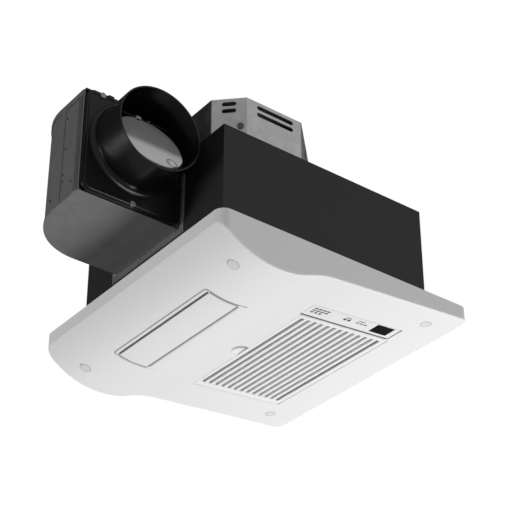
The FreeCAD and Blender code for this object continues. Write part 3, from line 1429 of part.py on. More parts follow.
def blade_outline():
    """One forward-curved blade: two arcs between the inner and outer radius, closed by short ends."""
    outer = size.impeller_radius - size.blade_thickness
    inner = outer - size.blade_chord
    half = size.blade_thickness / 2
    bow = size.blade_chord / 5
    middle = (inner + outer) / 2
    leading = Part.Arc(Vector(inner, half, 0), Vector(middle, half - bow, 0), Vector(outer, half, 0))
    trailing = Part.Arc(Vector(outer, -half, 0), Vector(middle, -half - bow, 0), Vector(inner, -half, 0))
    return [leading, Part.LineSegment(leading.EndPoint, trailing.StartPoint), trailing,
            Part.LineSegment(trailing.EndPoint, leading.StartPoint)]


def build_impeller():
    """Drum impeller: back plate, hub, a ring of curved blades and the lower ring."""
    wheel = new_body("impeller_body")
    place(wheel, ("fan_x", "fan_y", "impeller_top"))
    plate = size.impeller_radius
    pad(wheel, [Part.Circle(Vector(), UP, plate)], "impeller_plate", offset="-impeller_plate")
    pad(wheel, [Part.Circle(Vector(), UP, size.hub_radius)], "hub_height", offset="-hub_height")
    blade = pad(wheel, blade_outline(), "impeller_height - impeller_plate / 2", offset="-impeller_height")
    doc.recompute()
    pattern = wheel.newObject("PartDesign::PolarPattern", "impeller_blades")
    pattern.Originals = [blade]
    axis = next(item for item in wheel.Origin.OriginFeatures if item.Role == "Z_Axis")
    pattern.Axis = (axis, [""])
    pattern.Angle = 360
    pattern.setExpression("Occurrences", bound("blade_count"))
    wheel.Tip = pattern
    doc.recompute()
    rim = [Part.Circle(Vector(), UP, size.impeller_radius),
           Part.Circle(Vector(), UP, size.impeller_radius - size.blade_chord)]
    pad(wheel, rim, "impeller_ring_height", offset="-impeller_height")
    pocket(wheel, [Part.Circle(Vector(), UP, size.shaft_radius + size.running_gap)], "2 * hub_height",
           offset="hub_height")
    node(wheel, "impeller")
    nut_top = impeller_top - size.hub_height
    corner = size.nut_across / math.sqrt(3)
    points = [(size.fan_x + corner * math.cos(k * math.pi / 3),
               size.fan_y + corner * math.sin(k * math.pi / 3))
              for k in range(6)]
    hexagon = new_body("impeller_nut_hexagon")
    pad(hexagon, polygon(points), "nut_height", offset=f"{nut_top} - nut_height")
    bore = rod("impeller_nut_bore", ("fan_x", "fan_y", f"{nut_top} - 2 * nut_height"),
               "shaft_radius + running_gap",
               "4 * nut_height")
    node(cut("impeller_nut_cut", hexagon, bore), "impeller_nut")
    tail = nut_top - size.nut_height - size.shaft_tail
    node(rod("motor_shaft_rod", ("fan_x", "fan_y", tail), "shaft_radius", f"motor_top - sheet - ({tail})"),
         "motor_shaft")


# Fan motor


def around_axis(count, circle, first=0.0):
    """Points evenly spaced on a circle about the fan's axis."""
    return [(size.fan_x + circle * math.cos(first + k * 2 * math.pi / count),
             size.fan_y + circle * math.sin(first + k * 2 * math.pi / count)) for k in range(count)]


def on_axis(z):
    """Point of the fan's axis at a height."""
    return ("fan_x", "fan_y", z)


def build_motor():
    """Motor on its rubber-mounted bracket: housing, end cap, stator, windings, rotor and bearings."""
    bush_points = around_axis(3, size.bush_circle)
    screw_points = around_axis(3, size.bracket_screw_circle, math.pi / 3)
    bracket_holes = [rod("bracket_hole", on_axis("casing_height - sheet"), "bracket_hole_radius",
                         "5 * sheet")]
    for number, (x, y) in enumerate(bush_points + screw_points):
        bracket_holes.append(rod(f"bracket_screw_hole_{number}", (x, y, "casing_height - sheet"),
                                 "motor_screw_radius + screw_gap", "5 * sheet"))
    disc = rod("bracket_disc", on_axis("casing_height"), "bracket_radius", "bracket_thickness")
    node(cut("bracket_cut", disc, *bracket_holes), "motor_bracket")
    bushes = []
    screws = []
    flange_holes = []
    for number, (x, y) in enumerate(bush_points):
        base = Vector(x, y, size.casing_height + size.bracket_thickness)
        bushes.append(Part.makeCylinder(size.bush_radius, size.bush_height, base)
                      .cut(Part.makeCylinder(size.motor_screw_radius + size.screw_gap, size.bush_height,
                                             base)))
        seat = Vector(x, y, motor_base + size.motor_flange_thickness)
        length = seat.z - size.casing_height - size.screw_gap
        screws.append(screw(seat, -UP, size.motor_screw_radius, length, size.motor_screw_head,
                            size.motor_screw_head_height))
        flange_holes.append(rod(f"motor_flange_hole_{number}", (x, y, "motor_base - sheet"),
                                "motor_screw_radius + screw_gap", "5 * sheet"))
    for x, y in screw_points:
        seat = Vector(x, y, size.casing_height + size.bracket_thickness)
        screws.append(screw(seat, -UP, size.motor_screw_radius, size.bracket_thickness - size.screw_gap,
                            size.motor_screw_head, size.motor_screw_head_height))
    node(drawn("motor_bush_set", Part.makeCompound(bushes)), "motor_bushes")
    node(drawn("motor_screw_set", Part.makeCompound(screws)), "motor_screws")

    flange = rod("motor_flange", on_axis("motor_base"), "motor_flange_radius", "motor_flange_thickness")
    cup = rod("motor_cup", on_axis("motor_base"), "motor_radius",
              "motor_flange_thickness + motor_height - 2 * motor_wall")
    cavity = rod("motor_cavity", on_axis("bearing_base"), "motor_radius - motor_wall", "motor_height")
    seat = rod("motor_bearing_seat", on_axis("bearing_base"), "bearing_radius + motor_wall", "bearing_height")
    seat_bore = rod("motor_bearing_bore", on_axis("bearing_base"), "bearing_radius", "2 * bearing_height")
    shaft_way = rod("motor_shaft_way", on_axis("motor_base - sheet"), "shaft_radius + stator_gap",
                    "5 * sheet")
    open_cup = cut("motor_open_cup", fuse("motor_cup_solid", flange, cup), cavity, *flange_holes)
    node(cut("motor_housing_cut", fuse("motor_housing_solid", open_cup, seat), seat_bore, shaft_way),
         "motor_housing")

    cap_base = "motor_top - 2 * motor_wall"
    cap = rod("motor_cap_disc", on_axis(cap_base), "motor_radius", "2 * motor_wall")
    boss = rod("motor_cap_boss", on_axis(f"{cap_base} - bearing_height"), "bearing_radius + motor_wall",
               "bearing_height + motor_wall")
    boss_bore = rod("motor_cap_bore", on_axis(f"{cap_base} - 2 * bearing_height"), "bearing_radius",
                    "2 * bearing_height")
    cap_way = rod("motor_cap_way", on_axis(f"{cap_base} - sheet"), "shaft_radius + stator_gap", "5 * sheet")
    node(cut("motor_cap_cut", fuse("motor_cap_solid", cap, boss), boss_bore, cap_way), "motor_end_cap")

    bearings = []
    for base_z in (bearing_base, motor_top - 2 * size.motor_wall - size.bearing_height):
        base = Vector(size.fan_x, size.fan_y, base_z)
        bearings.append(Part.makeCylinder(size.bearing_radius - size.running_gap, size.bearing_height, base)
                        .cut(Part.makeCylinder(size.shaft_radius + size.running_gap, size.bearing_height,
                                               base)))
    node(drawn("motor_bearing_pair", Part.makeCompound(bearings)), "motor_bearings")

    middle = "(bearing_base + motor_top - 2 * motor_wall - stator_height) / 2"
    stator_outer = "motor_radius - motor_wall - running_gap"
    node(ring("stator_ring", on_axis(middle), stator_outer, "stator_bore", "stator_height"), "stator_core")
    windings = []
    stator_base = (bearing_base + motor_top - 2 * size.motor_wall - size.stator_height) / 2
    for base_z in (stator_base - size.winding_height, stator_base + size.stator_height):
        base = Vector(size.fan_x, size.fan_y, base_z)
        outer = size.motor_radius - 3 * size.motor_wall
        inner = size.stator_bore + 2 * size.motor_wall
        windings.append(Part.makeCylinder(outer, size.winding_height, base)
                        .cut(Part.makeCylinder(inner, size.winding_height, base)))
    node(drawn("stator_winding_pair", Part.makeCompound(windings)), "stator_windings")
    node(ring("rotor_ring", on_axis(middle), "stator_bore - rotor_gap", "shaft_radius + running_gap",
              "stator_height"), "rotor_core")
    node(box("run_capacitor_case", ("capacitor_x", "capacitor_y", "casing_height"),
             ("capacitor_width", "capacitor_depth", "capacitor_height")), "run_capacitor")


# Changeover flap


def damper_screw_places():
    """Places of the flap motor's two screws on the chamber's far wall."""
    x = inner_left + size.sheet + size.damper_motor_size + size.damper_motor_ear / 2
    low = damper_z - size.damper_motor_ear
    return ((x, low + size.damper_motor_ear / 2), (x,
                                                   low + size.damper_motor_size - size.damper_motor_ear / 2))


def build_changeover():
    """Flap between duct and heater on its round shaft, its geared motor, screws, and the port's gasket."""
    near = "chamber_near + damper_side_gap"
    width = "chamber_far - chamber_near - 2 * damper_side_gap"
    plate = box("damper_plate", ("damper_x", near, "damper_z - damper_thickness / 2"),
                ("damper_length", width, "damper_thickness"))
    tube = rod("damper_tube", ("damper_x", near, "damper_z"), "damper_tube_radius", width, "Y")
    pins = rod("damper_pins", ("damper_x", "chamber_near - scroll_wall", "damper_z"), "damper_pin_radius",
               "chamber_far - chamber_near + 2 * scroll_wall + damper_pin_reach", "Y")
    node(fuse("damper_solid", plate, tube, pins), "flow_damper")
    face = "chamber_far + scroll_wall"
    case = box("damper_motor_case", ("inner_left + sheet", face, "damper_z - damper_motor_ear"),
               ("damper_motor_size", "damper_motor_depth", "damper_motor_size"))
    bore = rod("damper_motor_bore", ("damper_x", face, "damper_z"), "damper_pin_radius + running_gap",
               "damper_pin_reach + sheet", "Y")
    ears = []
    holes = []
    screws = []
    for number, (x, z) in enumerate(damper_screw_places()):
        ears.append(box(f"damper_motor_ear_{number}",
                        (f"{x} - damper_motor_ear / 2", face, f"{z} - damper_motor_ear / 2"),
                        ("damper_motor_ear", "damper_motor_ear_thickness", "damper_motor_ear")))
        holes.append(rod(f"damper_motor_ear_hole_{number}", (x, f"{face} - sheet", z),
                         "elbow_screw_radius + screw_gap", "5 * sheet", "Y"))
        seat = Vector(x, chamber_far + size.scroll_wall + size.damper_motor_ear_thickness, z)
        screws.append(screw(seat, Vector(0, -1, 0), size.elbow_screw_radius,
                            size.damper_motor_ear_thickness + size.scroll_wall - size.screw_gap,
                            size.elbow_screw_head, size.elbow_screw_height))
    node(cut("damper_motor_cut", fuse("damper_motor_solid", case, *ears), bore, *holes), "damper_motor")
    node(drawn("damper_screw_pair", Part.makeCompound(screws)), "damper_screws")
    depth = "damper_axis_inset - damper_thickness / 2 - damper_seat_gap"
    pane = box("port_gasket_block",
               ("inner_left", "chamber_near + port_margin - gasket_rim",
                "scroll_floor + port_base_rise - gasket_rim"),
               (depth, "chamber_far - chamber_near - 2 * port_margin + 2 * gasket_rim",
                "inner_top - scroll_wall - port_top_drop - scroll_floor - port_base_rise + 2 * gasket_rim"))
    node(cut("port_gasket_cut", pane, exhaust_port("gasket_port", "inner_left - sheet",
                                                   "3 * damper_axis_inset")),
         "port_gasket")


# Heater


def build_heater():
    """Heater duct with its riser, the element in its frame, the thermal cut-out and the outlet's gasket."""
    half = "heater_duct_length / 2"
    shell = box("heater_shell", ("duct_left", f"-{half}", "0"),
                ("heater_duct_width", "heater_duct_length", "heater_duct_height"))
    hollow = box("heater_hollow", ("duct_left + sheet", f"-{half} + sheet", "sheet"),
                 ("heater_duct_width - 2 * sheet", "heater_duct_length - 2 * sheet",
                  "heater_duct_height - 2 * sheet"))
    riser = box("heater_riser", ("duct_left", "chamber_near + duct_opening_margin - sheet",
                                 "heater_duct_height - sheet"),
                ("duct_opening_x_end - duct_left + sheet",
                 "chamber_far - chamber_near - 2 * duct_opening_margin + 2 * sheet",
                 "scroll_base - heater_duct_height + sheet"))
    way = duct_opening("heater_riser_way", "heater_duct_height - 2 * sheet", "scroll_base")
    mouth = box("heater_mouth", ("throat_left", "-throat_half", "-sheet"),
                ("throat_right - throat_left", "2 * throat_half", "3 * sheet"))
    node(cut("heater_duct_cut", fuse("heater_duct_solid", shell, riser), hollow, way, mouth), "heater_duct")

    frame_x = "duct_left + sheet + heater_gap"
    frame_y = f"-{half} + sheet + heater_gap"
    frame_width = "heater_duct_width - 2 * sheet - 2 * heater_gap"
    frame_length = "heater_duct_length - 2 * sheet - 2 * heater_gap"
    outer = box("heater_frame_block", (frame_x, frame_y, "sheet"),
                (frame_width, frame_length, "heater_frame_height"))
    window = box("heater_frame_window", (f"{frame_x} + heater_frame_rim", f"{frame_y} + heater_frame_rim",
                                         "0"),
                 (f"{frame_width} - 2 * heater_frame_rim", f"{frame_length} - 2 * heater_frame_rim",
                  "2 * heater_frame_height"))
    node(cut("heater_frame_cut", outer, window), "heater_frame")

    inset = size.sheet + size.heater_gap + size.heater_frame_rim
    left = duct_left + inset
    width = size.heater_duct_width - 2 * inset
    length = size.heater_duct_length - 2 * inset
    base_z = size.sheet + (size.heater_frame_height - size.heater_bar_height) / 2
    bars = []
    pitch = width / (size.heater_bar_count + 1)
    for number in range(size.heater_bar_count):
        x = left + (number + 1) * pitch - size.heater_bar_width / 2
        bars.append(Part.makeBox(size.heater_bar_width, length, size.heater_bar_height,
                                 Vector(x, -length / 2, base_z)))
    bar_set = Part.makeCompound(bars)
    node(drawn("heater_bar_set", bar_set), "heater_bars")
    fins = []
    count = int((length - size.heater_fin_thickness) // size.heater_fin_pitch)
    first = -(count - 1) * size.heater_fin_pitch / 2
    for number in range(count):
        y = first + number * size.heater_fin_pitch - size.heater_fin_thickness / 2
        fins.append(Part.makeBox(width, size.heater_fin_thickness, size.heater_bar_height,
                                 Vector(left, y, base_z)))
    node(drawn("heater_fin_set", Part.makeCompound(fins).cut(bar_set)), "heater_fins")
    node(rod("thermal_cutout_can", ("outlet_x", "cutout_y", "heater_duct_height"), "cutout_radius",
             "cutout_height"),
         "thermal_cutout")
    gasket = box("outlet_gasket_block", ("outlet_x - outlet_width / 2", "-outlet_length / 2",
                                         "-outlet_gasket_height"),
                 ("outlet_width", "outlet_length", "outlet_gasket_height"))
    gap = box("outlet_gasket_way", ("throat_left", "-throat_half", "-2 * outlet_gasket_height"),
              ("throat_right - throat_left", "2 * throat_half", "3 * outlet_gasket_height"))
    node(cut("outlet_gasket_cut", gasket, gap), "outlet_gasket")


# Electrics


def build_electrics():
    """Control box under the casing's top with its board, terminal block and lid, and the cable's grommet."""
    corner = ("box_left", "box_y", "box_base")
    tray = box("control_box_tray", corner, ("box_width", "box_depth", "box_height"))
    hollow = box("control_box_hollow", ("box_left + sheet", "box_y + sheet", "box_base - sheet"),
                 ("box_width - 2 * sheet", "box_depth - 2 * sheet", "box_height"))
    entry = rod("control_box_entry", ("box_right - 2 * sheet", "grommet_y", "grommet_z"),
                "grommet_bore + sheet",
                "4 * sheet", "X")
    posts = []
    board_top = "under_board + board_thickness"
    for side_x in (0, 1):
        for side_y in (0, 1):
            x = f"box_left + 2 * board_inset + {side_x} * (box_width - 4 * board_inset)"
            y = f"box_y + 2 * board_inset + {side_y} * (box_depth - 4 * board_inset)"
            posts.append(rod(f"board_post_{side_x}{side_y}", (x, y, board_top), "board_post_radius",
                             "board_drop + sheet / 2"))
    open_tray = cut("control_box_open", tray, hollow, entry)
    node(fuse("control_box_solid", open_tray, *posts), "control_box")
    node(box("control_box_lid_plate", (corner[0], corner[1], "box_base - sheet"),
             ("box_width", "box_depth", "sheet")),
         "control_box_lid")
    node(box("main_board_plate", ("box_left + board_inset", "box_y + board_inset", "under_board"),
             ("box_width - 2 * board_inset", "box_depth - 2 * board_inset", "board_thickness")), "main_board")
    left = box_left + (box_width - size.transformer_width) / 2
    near = size.box_y + 3 * size.board_inset
    part_height = size.board_part_height
    smoothing_x = left + size.relay_width + size.smoothing_gap + size.smoothing_radius
    transformer = Part.makeBox(size.transformer_width, size.transformer_depth, part_height,
                               Vector(left, near, under_board - part_height))
    components = [transformer]
    for number in range(size.relay_count):
        y = near + size.transformer_depth + size.relay_pitch * (number + 0.5)
        components.append(Part.makeBox(size.relay_width, size.relay_depth, size.relay_height,
                                       Vector(left, y, under_board - size.relay_height)))
        components.append(Part.makeCylinder(size.smoothing_radius, part_height,
                                            Vector(smoothing_x, y + size.relay_depth / 2,
                                                   under_board - part_height)))
    node(drawn("board_part_set", Part.makeCompound(components)), "board_parts")
    node(box("terminal_block_case", ("box_right - sheet - terminal_width",
                                     "box_y + box_depth - sheet - terminal_length",
                                     "box_base"),
             ("terminal_width", "terminal_length", "terminal_height")), "terminal_block")
    wall = "grommet_flange_thickness"
    inner = rod("grommet_inner_flange", (f"half_width - sheet - {wall}", "grommet_y", "grommet_z"),
                "grommet_flange",
                wall, "X")
    neck = rod("grommet_neck_disc", ("half_width - sheet", "grommet_y", "grommet_z"),
               "grommet_neck - running_gap",
               "sheet", "X")
    outer = rod("grommet_outer_flange", ("half_width", "grommet_y", "grommet_z"), "grommet_flange", wall, "X")
    bore = rod("grommet_bore_way", (f"half_width - 2 * {wall} - sheet", "grommet_y", "grommet_z"),
               "grommet_bore",
               f"4 * {wall} + 2 * sheet", "X")
    node(cut("grommet_cut", fuse("grommet_solid", inner, neck, outer), bore), "cable_grommet")


def write_parts():
    """Check every object, then write one file per sub-part."""
    doc.recompute()
    for item in doc.Objects:
        if "Invalid" in item.State or "Error" in item.State:
            raise RuntimeError(f"{item.Label}: {item.State}")
    for item in nodes:
        if item.Shape.isNull() or not item.Shape.isValid():
            raise RuntimeError(f"{item.Label}: bad shape")
        if not item.Shape.Solids:
            raise RuntimeError(f"{item.Label}: no solid")
    os.makedirs("parts", exist_ok=True)
    for item in nodes:
        item.Shape.exportStep(f"parts/{item.Label}.step")
        print(item.Label, len(item.Shape.Solids), "solids", round(item.Shape.Volume / 1000, 2), "cm3")


build_panel()
build_panel_fasteners()
build_outlet_frame()
build_louver()
build_louver_bushes()
build_louver_gear()
build_louver_drive()
build_grille()
build_filter()
build_control_strip()
build_casing()
build_cover_lugs()
build_motor_cover()
build_elbow()
build_collar()
build_backdraft()
build_scroll()
build_impeller()
build_motor()
build_changeover()
build_heater()
build_electrics()
write_parts()
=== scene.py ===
import logging
import math
from dataclasses import dataclass, field
from enum import Enum

import bpy
import numpy as np
from mathutils import Matrix, Vector


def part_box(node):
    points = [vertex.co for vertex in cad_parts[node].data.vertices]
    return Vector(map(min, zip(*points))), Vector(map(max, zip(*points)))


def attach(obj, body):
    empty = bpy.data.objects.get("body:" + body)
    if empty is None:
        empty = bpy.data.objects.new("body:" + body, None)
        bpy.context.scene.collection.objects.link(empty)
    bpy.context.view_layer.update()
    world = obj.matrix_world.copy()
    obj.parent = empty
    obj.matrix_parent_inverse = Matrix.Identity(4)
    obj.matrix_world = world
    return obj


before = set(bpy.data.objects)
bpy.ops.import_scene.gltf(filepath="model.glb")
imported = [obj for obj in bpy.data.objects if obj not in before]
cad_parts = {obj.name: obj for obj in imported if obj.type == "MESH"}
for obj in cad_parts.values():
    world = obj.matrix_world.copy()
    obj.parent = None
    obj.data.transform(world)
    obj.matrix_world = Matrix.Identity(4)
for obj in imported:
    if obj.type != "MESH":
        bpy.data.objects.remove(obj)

LOG = logging.getLogger("ventilating_dryer")
MM = 0.001
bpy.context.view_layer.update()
X_AXIS, Y_AXIS, Z_AXIS = np.eye(3)

Colour = tuple[float, float, float]
Level = tuple[tuple[float, float, float], float]
Pair = tuple[float, float] | np.ndarray
Inputs = dict[str | int, object]
Shape = tuple[np.ndarray, list[np.ndarray]]


class Body(Enum):
    """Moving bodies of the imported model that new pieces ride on."""

    HOUSING = "housing"
    LOUVER = "louver_vane"
    GRILLE = "grille"
    BACKDRAFT = "backdraft"


class Slot(Enum):
    """Material slots of the record."""

    GALVANISED = "galvanised"
    BLACK = "black_plastic"
    WHITE = "white_plastic"
    FLAP = "flap_aluminium"
    STRIP = "strip_plastic"
    NET = "net"


class Pattern(Enum):
    """How a finish varies over its surface."""

    GRAIN = "fine even grain of a moulding"
    ORANGE_PEEL = "soft waviness of sprayed paint"
    SPANGLE = "zinc crystals of galvanised sheet"
    BRUSHED = "short scratches of ground metal"
    WOVEN = "crossed threads of a net"


def connect(tree: bpy.types.NodeTree, node: bpy.types.Node, inputs: Inputs) -> None:
    """Give inputs of a node their values, or link them to the sockets that feed them.

    Args:
        tree: Tree of the node.
        node: The node.
        inputs: Value or output socket by the input's name or number.
    """
    for name, source in inputs.items():
        if isinstance(source, bpy.types.NodeSocket):
            tree.links.new(source, node.inputs[name])
        else:
            node.inputs[name].default_value = source


def add_node(tree: bpy.types.NodeTree, kind: str, inputs: Inputs, **choices: str) -> bpy.types.Node:
    """Add one shader node with its choices and inputs.

    Args:
        tree: Tree that gets the node.
        kind: The node's type, without the words ShaderNode in front.
        inputs: Value or output socket by the input's name or number.
        choices: The node's own settings.

    Returns:
        The node.
    """
    node = tree.nodes.new("ShaderNode" + kind)
    for name, choice in choices.items():
        setattr(node, name, choice)
    connect(tree, node, inputs)
    return node


# Depth of a bump as a share of one repeat, and how the patterns are drawn
BUMP_SHARE = 0.2
SCRATCH_STRETCH = (1.0, 1.0, 14.0)
PEEL_DETAIL = 2.0
GRAIN_DETAIL = 4.0
CLOUD_SIZE = 5.0
CLOUD_DETAIL = 5.0
CLOUD_SHARE = 0.7


@dataclass(frozen=True)
class Finish:
    """One procedural surface finish.

    Attributes:
        name: Material name.
        pale: Colour where the pattern is 1.
        deep: Colour where the pattern is 0.
        pattern: The kind of variation.
        scale: Pattern repeats per metre.
        smooth: Lowest roughness.
        rough: Highest roughness.
        metallic: Metallic share.
        relief: Bump strength.
        gloss: Specular level of the base layer.
    """

    name: str
    pale: Colour
    deep: Colour
    pattern: Pattern
    scale: float
    smooth: float
    rough: float
    metallic: float = 0.0
    relief: float = 0.05
    gloss: float = 0.5

    def material(self) -> bpy.types.Material:
        """Make the material once, and return it on every later call.

        Returns:
            The node-based material.
        """
        known = bpy.data.materials.get(self.name)
        if known:
            return known
        made = bpy.data.materials.new(self.name)
        made.use_nodes = True
        made.diffuse_color = (*self.pale, 1.0)
        tree = made.node_tree
        height = self._pattern(tree)
        colours = {"Factor": height, "A": (*self.deep, 1.0), "B": (*self.pale, 1.0)}
        tint = add_node(tree, "Mix", colours, data_type="RGBA")
        sheen = add_node(tree, "MapRange", {"Value": height, "To Min": self.smooth, "To Max": self.rough})
        bump = add_node(tree, "Bump", {"Height": height, "Strength": self.relief,
                                       "Distance": BUMP_SHARE / self.scale})
        connect(tree, tree.nodes["Principled BSDF"], {
            "Base Color": tint.outputs["Result"],
            "Roughness": sheen.outputs["Result"],
            "Normal": bump.outputs["Normal"],
            "Metallic": self.metallic,
            "Specular IOR Level": self.gloss,
        })
        return made

    def _pattern(self, tree: bpy.types.NodeTree) -> bpy.types.NodeSocket:
        """Lay the pattern's nodes.

        Args:
            tree: Node tree of the material.

        Returns:
            A socket that runs from 0 to 1 over the pattern.
        """
        place = add_node(tree, "TexCoord", {}).outputs["Object"]
        if self.pattern is Pattern.SPANGLE:
            return self._spangle(tree, place)
        if self.pattern is Pattern.WOVEN:
            return self._threads(tree, place)
        if self.pattern is Pattern.BRUSHED:
            place = add_node(tree, "Mapping", {"Vector": place, "Scale": SCRATCH_STRETCH}).outputs["Vector"]
        detail = PEEL_DETAIL if self.pattern is Pattern.ORANGE_PEEL else GRAIN_DETAIL
        noise = add_node(tree, "TexNoise", {"Vector": place, "Scale": self.scale, "Detail": detail})
        return noise.outputs["Fac"]

    def _spangle(self, tree: bpy.types.NodeTree, place: bpy.types.NodeSocket) -> bpy.types.NodeSocket:
        """Zinc crystals: each cell has its own grey, broken up by a slow cloud.

        Args:
            tree: Node tree of the material.
            place: Socket with the position on the sheet.

        Returns:
            A socket that runs from 0 to 1 over the crystals.
        """
        cells = add_node(tree, "TexVoronoi", {"Vector": place, "Scale": self.scale})
        parts = add_node(tree, "SeparateColor", {"Color": cells.outputs["Color"]})
        cloud = add_node(tree, "TexNoise", {"Vector": place, "Scale": self.scale / CLOUD_SIZE,
                                            "Detail": CLOUD_DETAIL})
        blend = add_node(tree, "Mix", {"Factor": CLOUD_SHARE, "A": parts.outputs["Red"],
                                       "B": cloud.outputs["Fac"]})
        return blend.outputs["Result"]

    def _threads(self, tree: bpy.types.NodeTree, place: bpy.types.NodeSocket) -> bpy.types.NodeSocket:
        """Crossed threads: the higher of two wave trains at right angles.

        Args:
            tree: Node tree of the material.
            place: Socket with the position on the net.

        Returns:
            A socket that runs from 0 between the threads to 1 on them.
        """
        trains = [add_node(tree, "TexWave", {"Vector": place, "Scale": self.scale}, bands_direction=direction)
                  for direction in ("X", "Y")]
        heights = {number: train.outputs["Fac"] for number, train in enumerate(trains)}
        return add_node(tree, "Math", heights, operation="MAXIMUM").outputs["Value"]


@dataclass(frozen=True)
class LevelFinish(Finish):
    """Finish that goes from its pale to its deep colour with the depth under flat levels, to paint shade and
    light.

    Attributes:
        levels: Direction inwards from each level, and the level's place along it in metres.
        start: Depth at which the tone begins to change, in metres.
        fade: Depth over which it changes, in metres.
        mark_share: Share of the finish's own pattern in the tone.
    """

    levels: tuple[Level, ...] = ()
    start: float = 0.0003
    fade: float = 0.0015
    mark_share: float = 0.05

    def _pattern(self, tree: bpy.types.NodeTree) -> bpy.types.NodeSocket:
        """The finish's own pattern, lifted towards 1 outside of any level.

        Args:
            tree: Node tree of the material.

        Returns:
            A socket that runs from 0 to 1.
        """
        marks = super()._pattern(tree)
        place = add_node(tree, "TexCoord", {}).outputs["Object"]
        tone = 0.0
        for inward, level in self.levels:
            across = add_node(tree, "VectorMath", {0: place, 1: inward}, operation="DOT_PRODUCT")
            outside = add_node(tree, "MapRange", {"Value": across.outputs["Value"],
                                                  "From Min": level + self.start + self.fade,
                                                  "From Max": level + self.start},
                               interpolation_type="SMOOTHSTEP")
            higher = add_node(tree, "Math", {0: tone, 1: outside.outputs["Result"]}, operation="MAXIMUM")
            tone = higher.outputs["Value"]
        blend = add_node(tree, "Mix", {"Factor": self.mark_share, "A": tone, "B": marks})
        return blend.outputs["Result"]


def grey(level: float, blue: float | None = None) -> Colour:
    """A linear grey, with a blue share of its own where it is a little warm or cool."""
    return level, level, level if blue is None else blue


# Levels under which a finish changes its tone, to paint shade and light on the surfaces that use them
SLOPE_LEVEL = ((-0.0828, 0.0, 0.9966), -0.02994)
SCOOP_LEVEL = ((-0.0828, 0.16, 0.9966), -0.02754)
FLAP_LEVEL = ((0.0, 0.0, 1.0), 0.103)
ELBOW_LEVEL = ((1.0, 0.0, 0.0), -0.2)
COVER_LOW, COVER_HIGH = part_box("motor_cover")
COVER_CHAMFER = 0.062
DIAGONAL = math.sqrt(0.5)
COVER_LEVELS = (
    ((1.0, 0.0, 0.0), COVER_LOW[0]),
    ((-1.0, 0.0, 0.0), -COVER_HIGH[0]),
    ((-DIAGONAL, DIAGONAL, 0.0), DIAGONAL * (COVER_LOW[1] - COVER_HIGH[0] + COVER_CHAMFER)),
    ((-DIAGONAL, -DIAGONAL, 0.0), -DIAGONAL * (COVER_HIGH[1] + COVER_HIGH[0] - COVER_CHAMFER)),
)

# White mouldings and what lies on them
WHITE_PANEL = Finish("white_panel", grey(0.84, 0.835), grey(0.80, 0.795), Pattern.GRAIN, 900.0, 0.38, 0.48,
                     relief=0.02, gloss=0.35)
WHITE_LOUVER = Finish("white_louver", grey(0.83, 0.825), grey(0.79, 0.785), Pattern.GRAIN, 900.0, 0.36, 0.46,
                      relief=0.02, gloss=0.35)
# Painted shade: deeper than the slope's level, the grille's slot walls go greyer
WHITE_GRILLE = LevelFinish("white_grille", grey(0.84, 0.835), grey(0.76, 0.755), Pattern.GRAIN, 900.0,
                           0.38, 0.48, relief=0.0, gloss=0.35, levels=(SLOPE_LEVEL,))
# Painted shade: the scoop is dark at its rim and towards -Y, and light deeper in
SCOOP_SHADE = LevelFinish("scoop_shade", grey(0.30), grey(0.82, 0.815), Pattern.GRAIN, 900.0, 0.40, 0.50,
                          relief=0.0, gloss=0.3, levels=(SCOOP_LEVEL,))
# Painted shade: the caps are greyer than the panel, for the shade in the recesses that hold them
CAP_MOULDING = Finish("cap_moulding", grey(0.75, 0.745), grey(0.70, 0.695), Pattern.GRAIN, 1200.0, 0.40, 0.50,
                      relief=0.02, gloss=0.3)
WHITE_STRIP = Finish("white_strip", grey(0.84, 0.835), grey(0.81, 0.805), Pattern.GRAIN, 1200.0, 0.26, 0.32,
                     relief=0.01, gloss=0.4)
DARK_WINDOW = Finish("dark_window", grey(0.009), grey(0.006), Pattern.GRAIN, 700.0, 0.30, 0.36,
                     relief=0.01, gloss=0.03)
PRINTED_MARK = Finish("printed_mark", grey(0.05), grey(0.03), Pattern.GRAIN, 900.0, 0.4, 0.5, relief=0.01)
SHADOW_LINE = Finish("shadow_line", grey(0.10), grey(0.07), Pattern.GRAIN, 900.0, 0.6, 0.7,
                     relief=0.01, gloss=0.2)
# Painted shadow: grey strips where grooves and gaps lie in shade, and a paler soft shadow beside the vane
GROOVE_LINE = Finish("groove_line", grey(0.36), grey(0.30), Pattern.GRAIN, 900.0, 0.6, 0.7,
                     relief=0.01, gloss=0.2)
SOFT_LINE = Finish("soft_line", grey(0.60, 0.595), grey(0.55, 0.545), Pattern.GRAIN, 900.0, 0.6, 0.7,
                   relief=0.01, gloss=0.2)

# Casing, duct and motor cover
BLACK_PAINT = Finish("black_paint", grey(0.066, 0.067), grey(0.051, 0.052), Pattern.ORANGE_PEEL, 420.0,
                     0.40, 0.52, relief=0.04, gloss=0.3)
BLACK_MOULDING = Finish("black_moulding", grey(0.010), grey(0.006), Pattern.ORANGE_PEEL, 240.0, 0.21, 0.28,
                        relief=0.02, gloss=0.6)
# Painted shade: the motor cover goes dark on its -X and +X faces and on the chamfers at its two +X corners
COVER_SHEET = LevelFinish("cover_sheet", grey(0.10), grey(1.0, 0.995), Pattern.SPANGLE, 110.0, 0.36, 0.55,
                          metallic=0.7, relief=0.02, levels=COVER_LEVELS, fade=0.0006, mark_share=0.38)
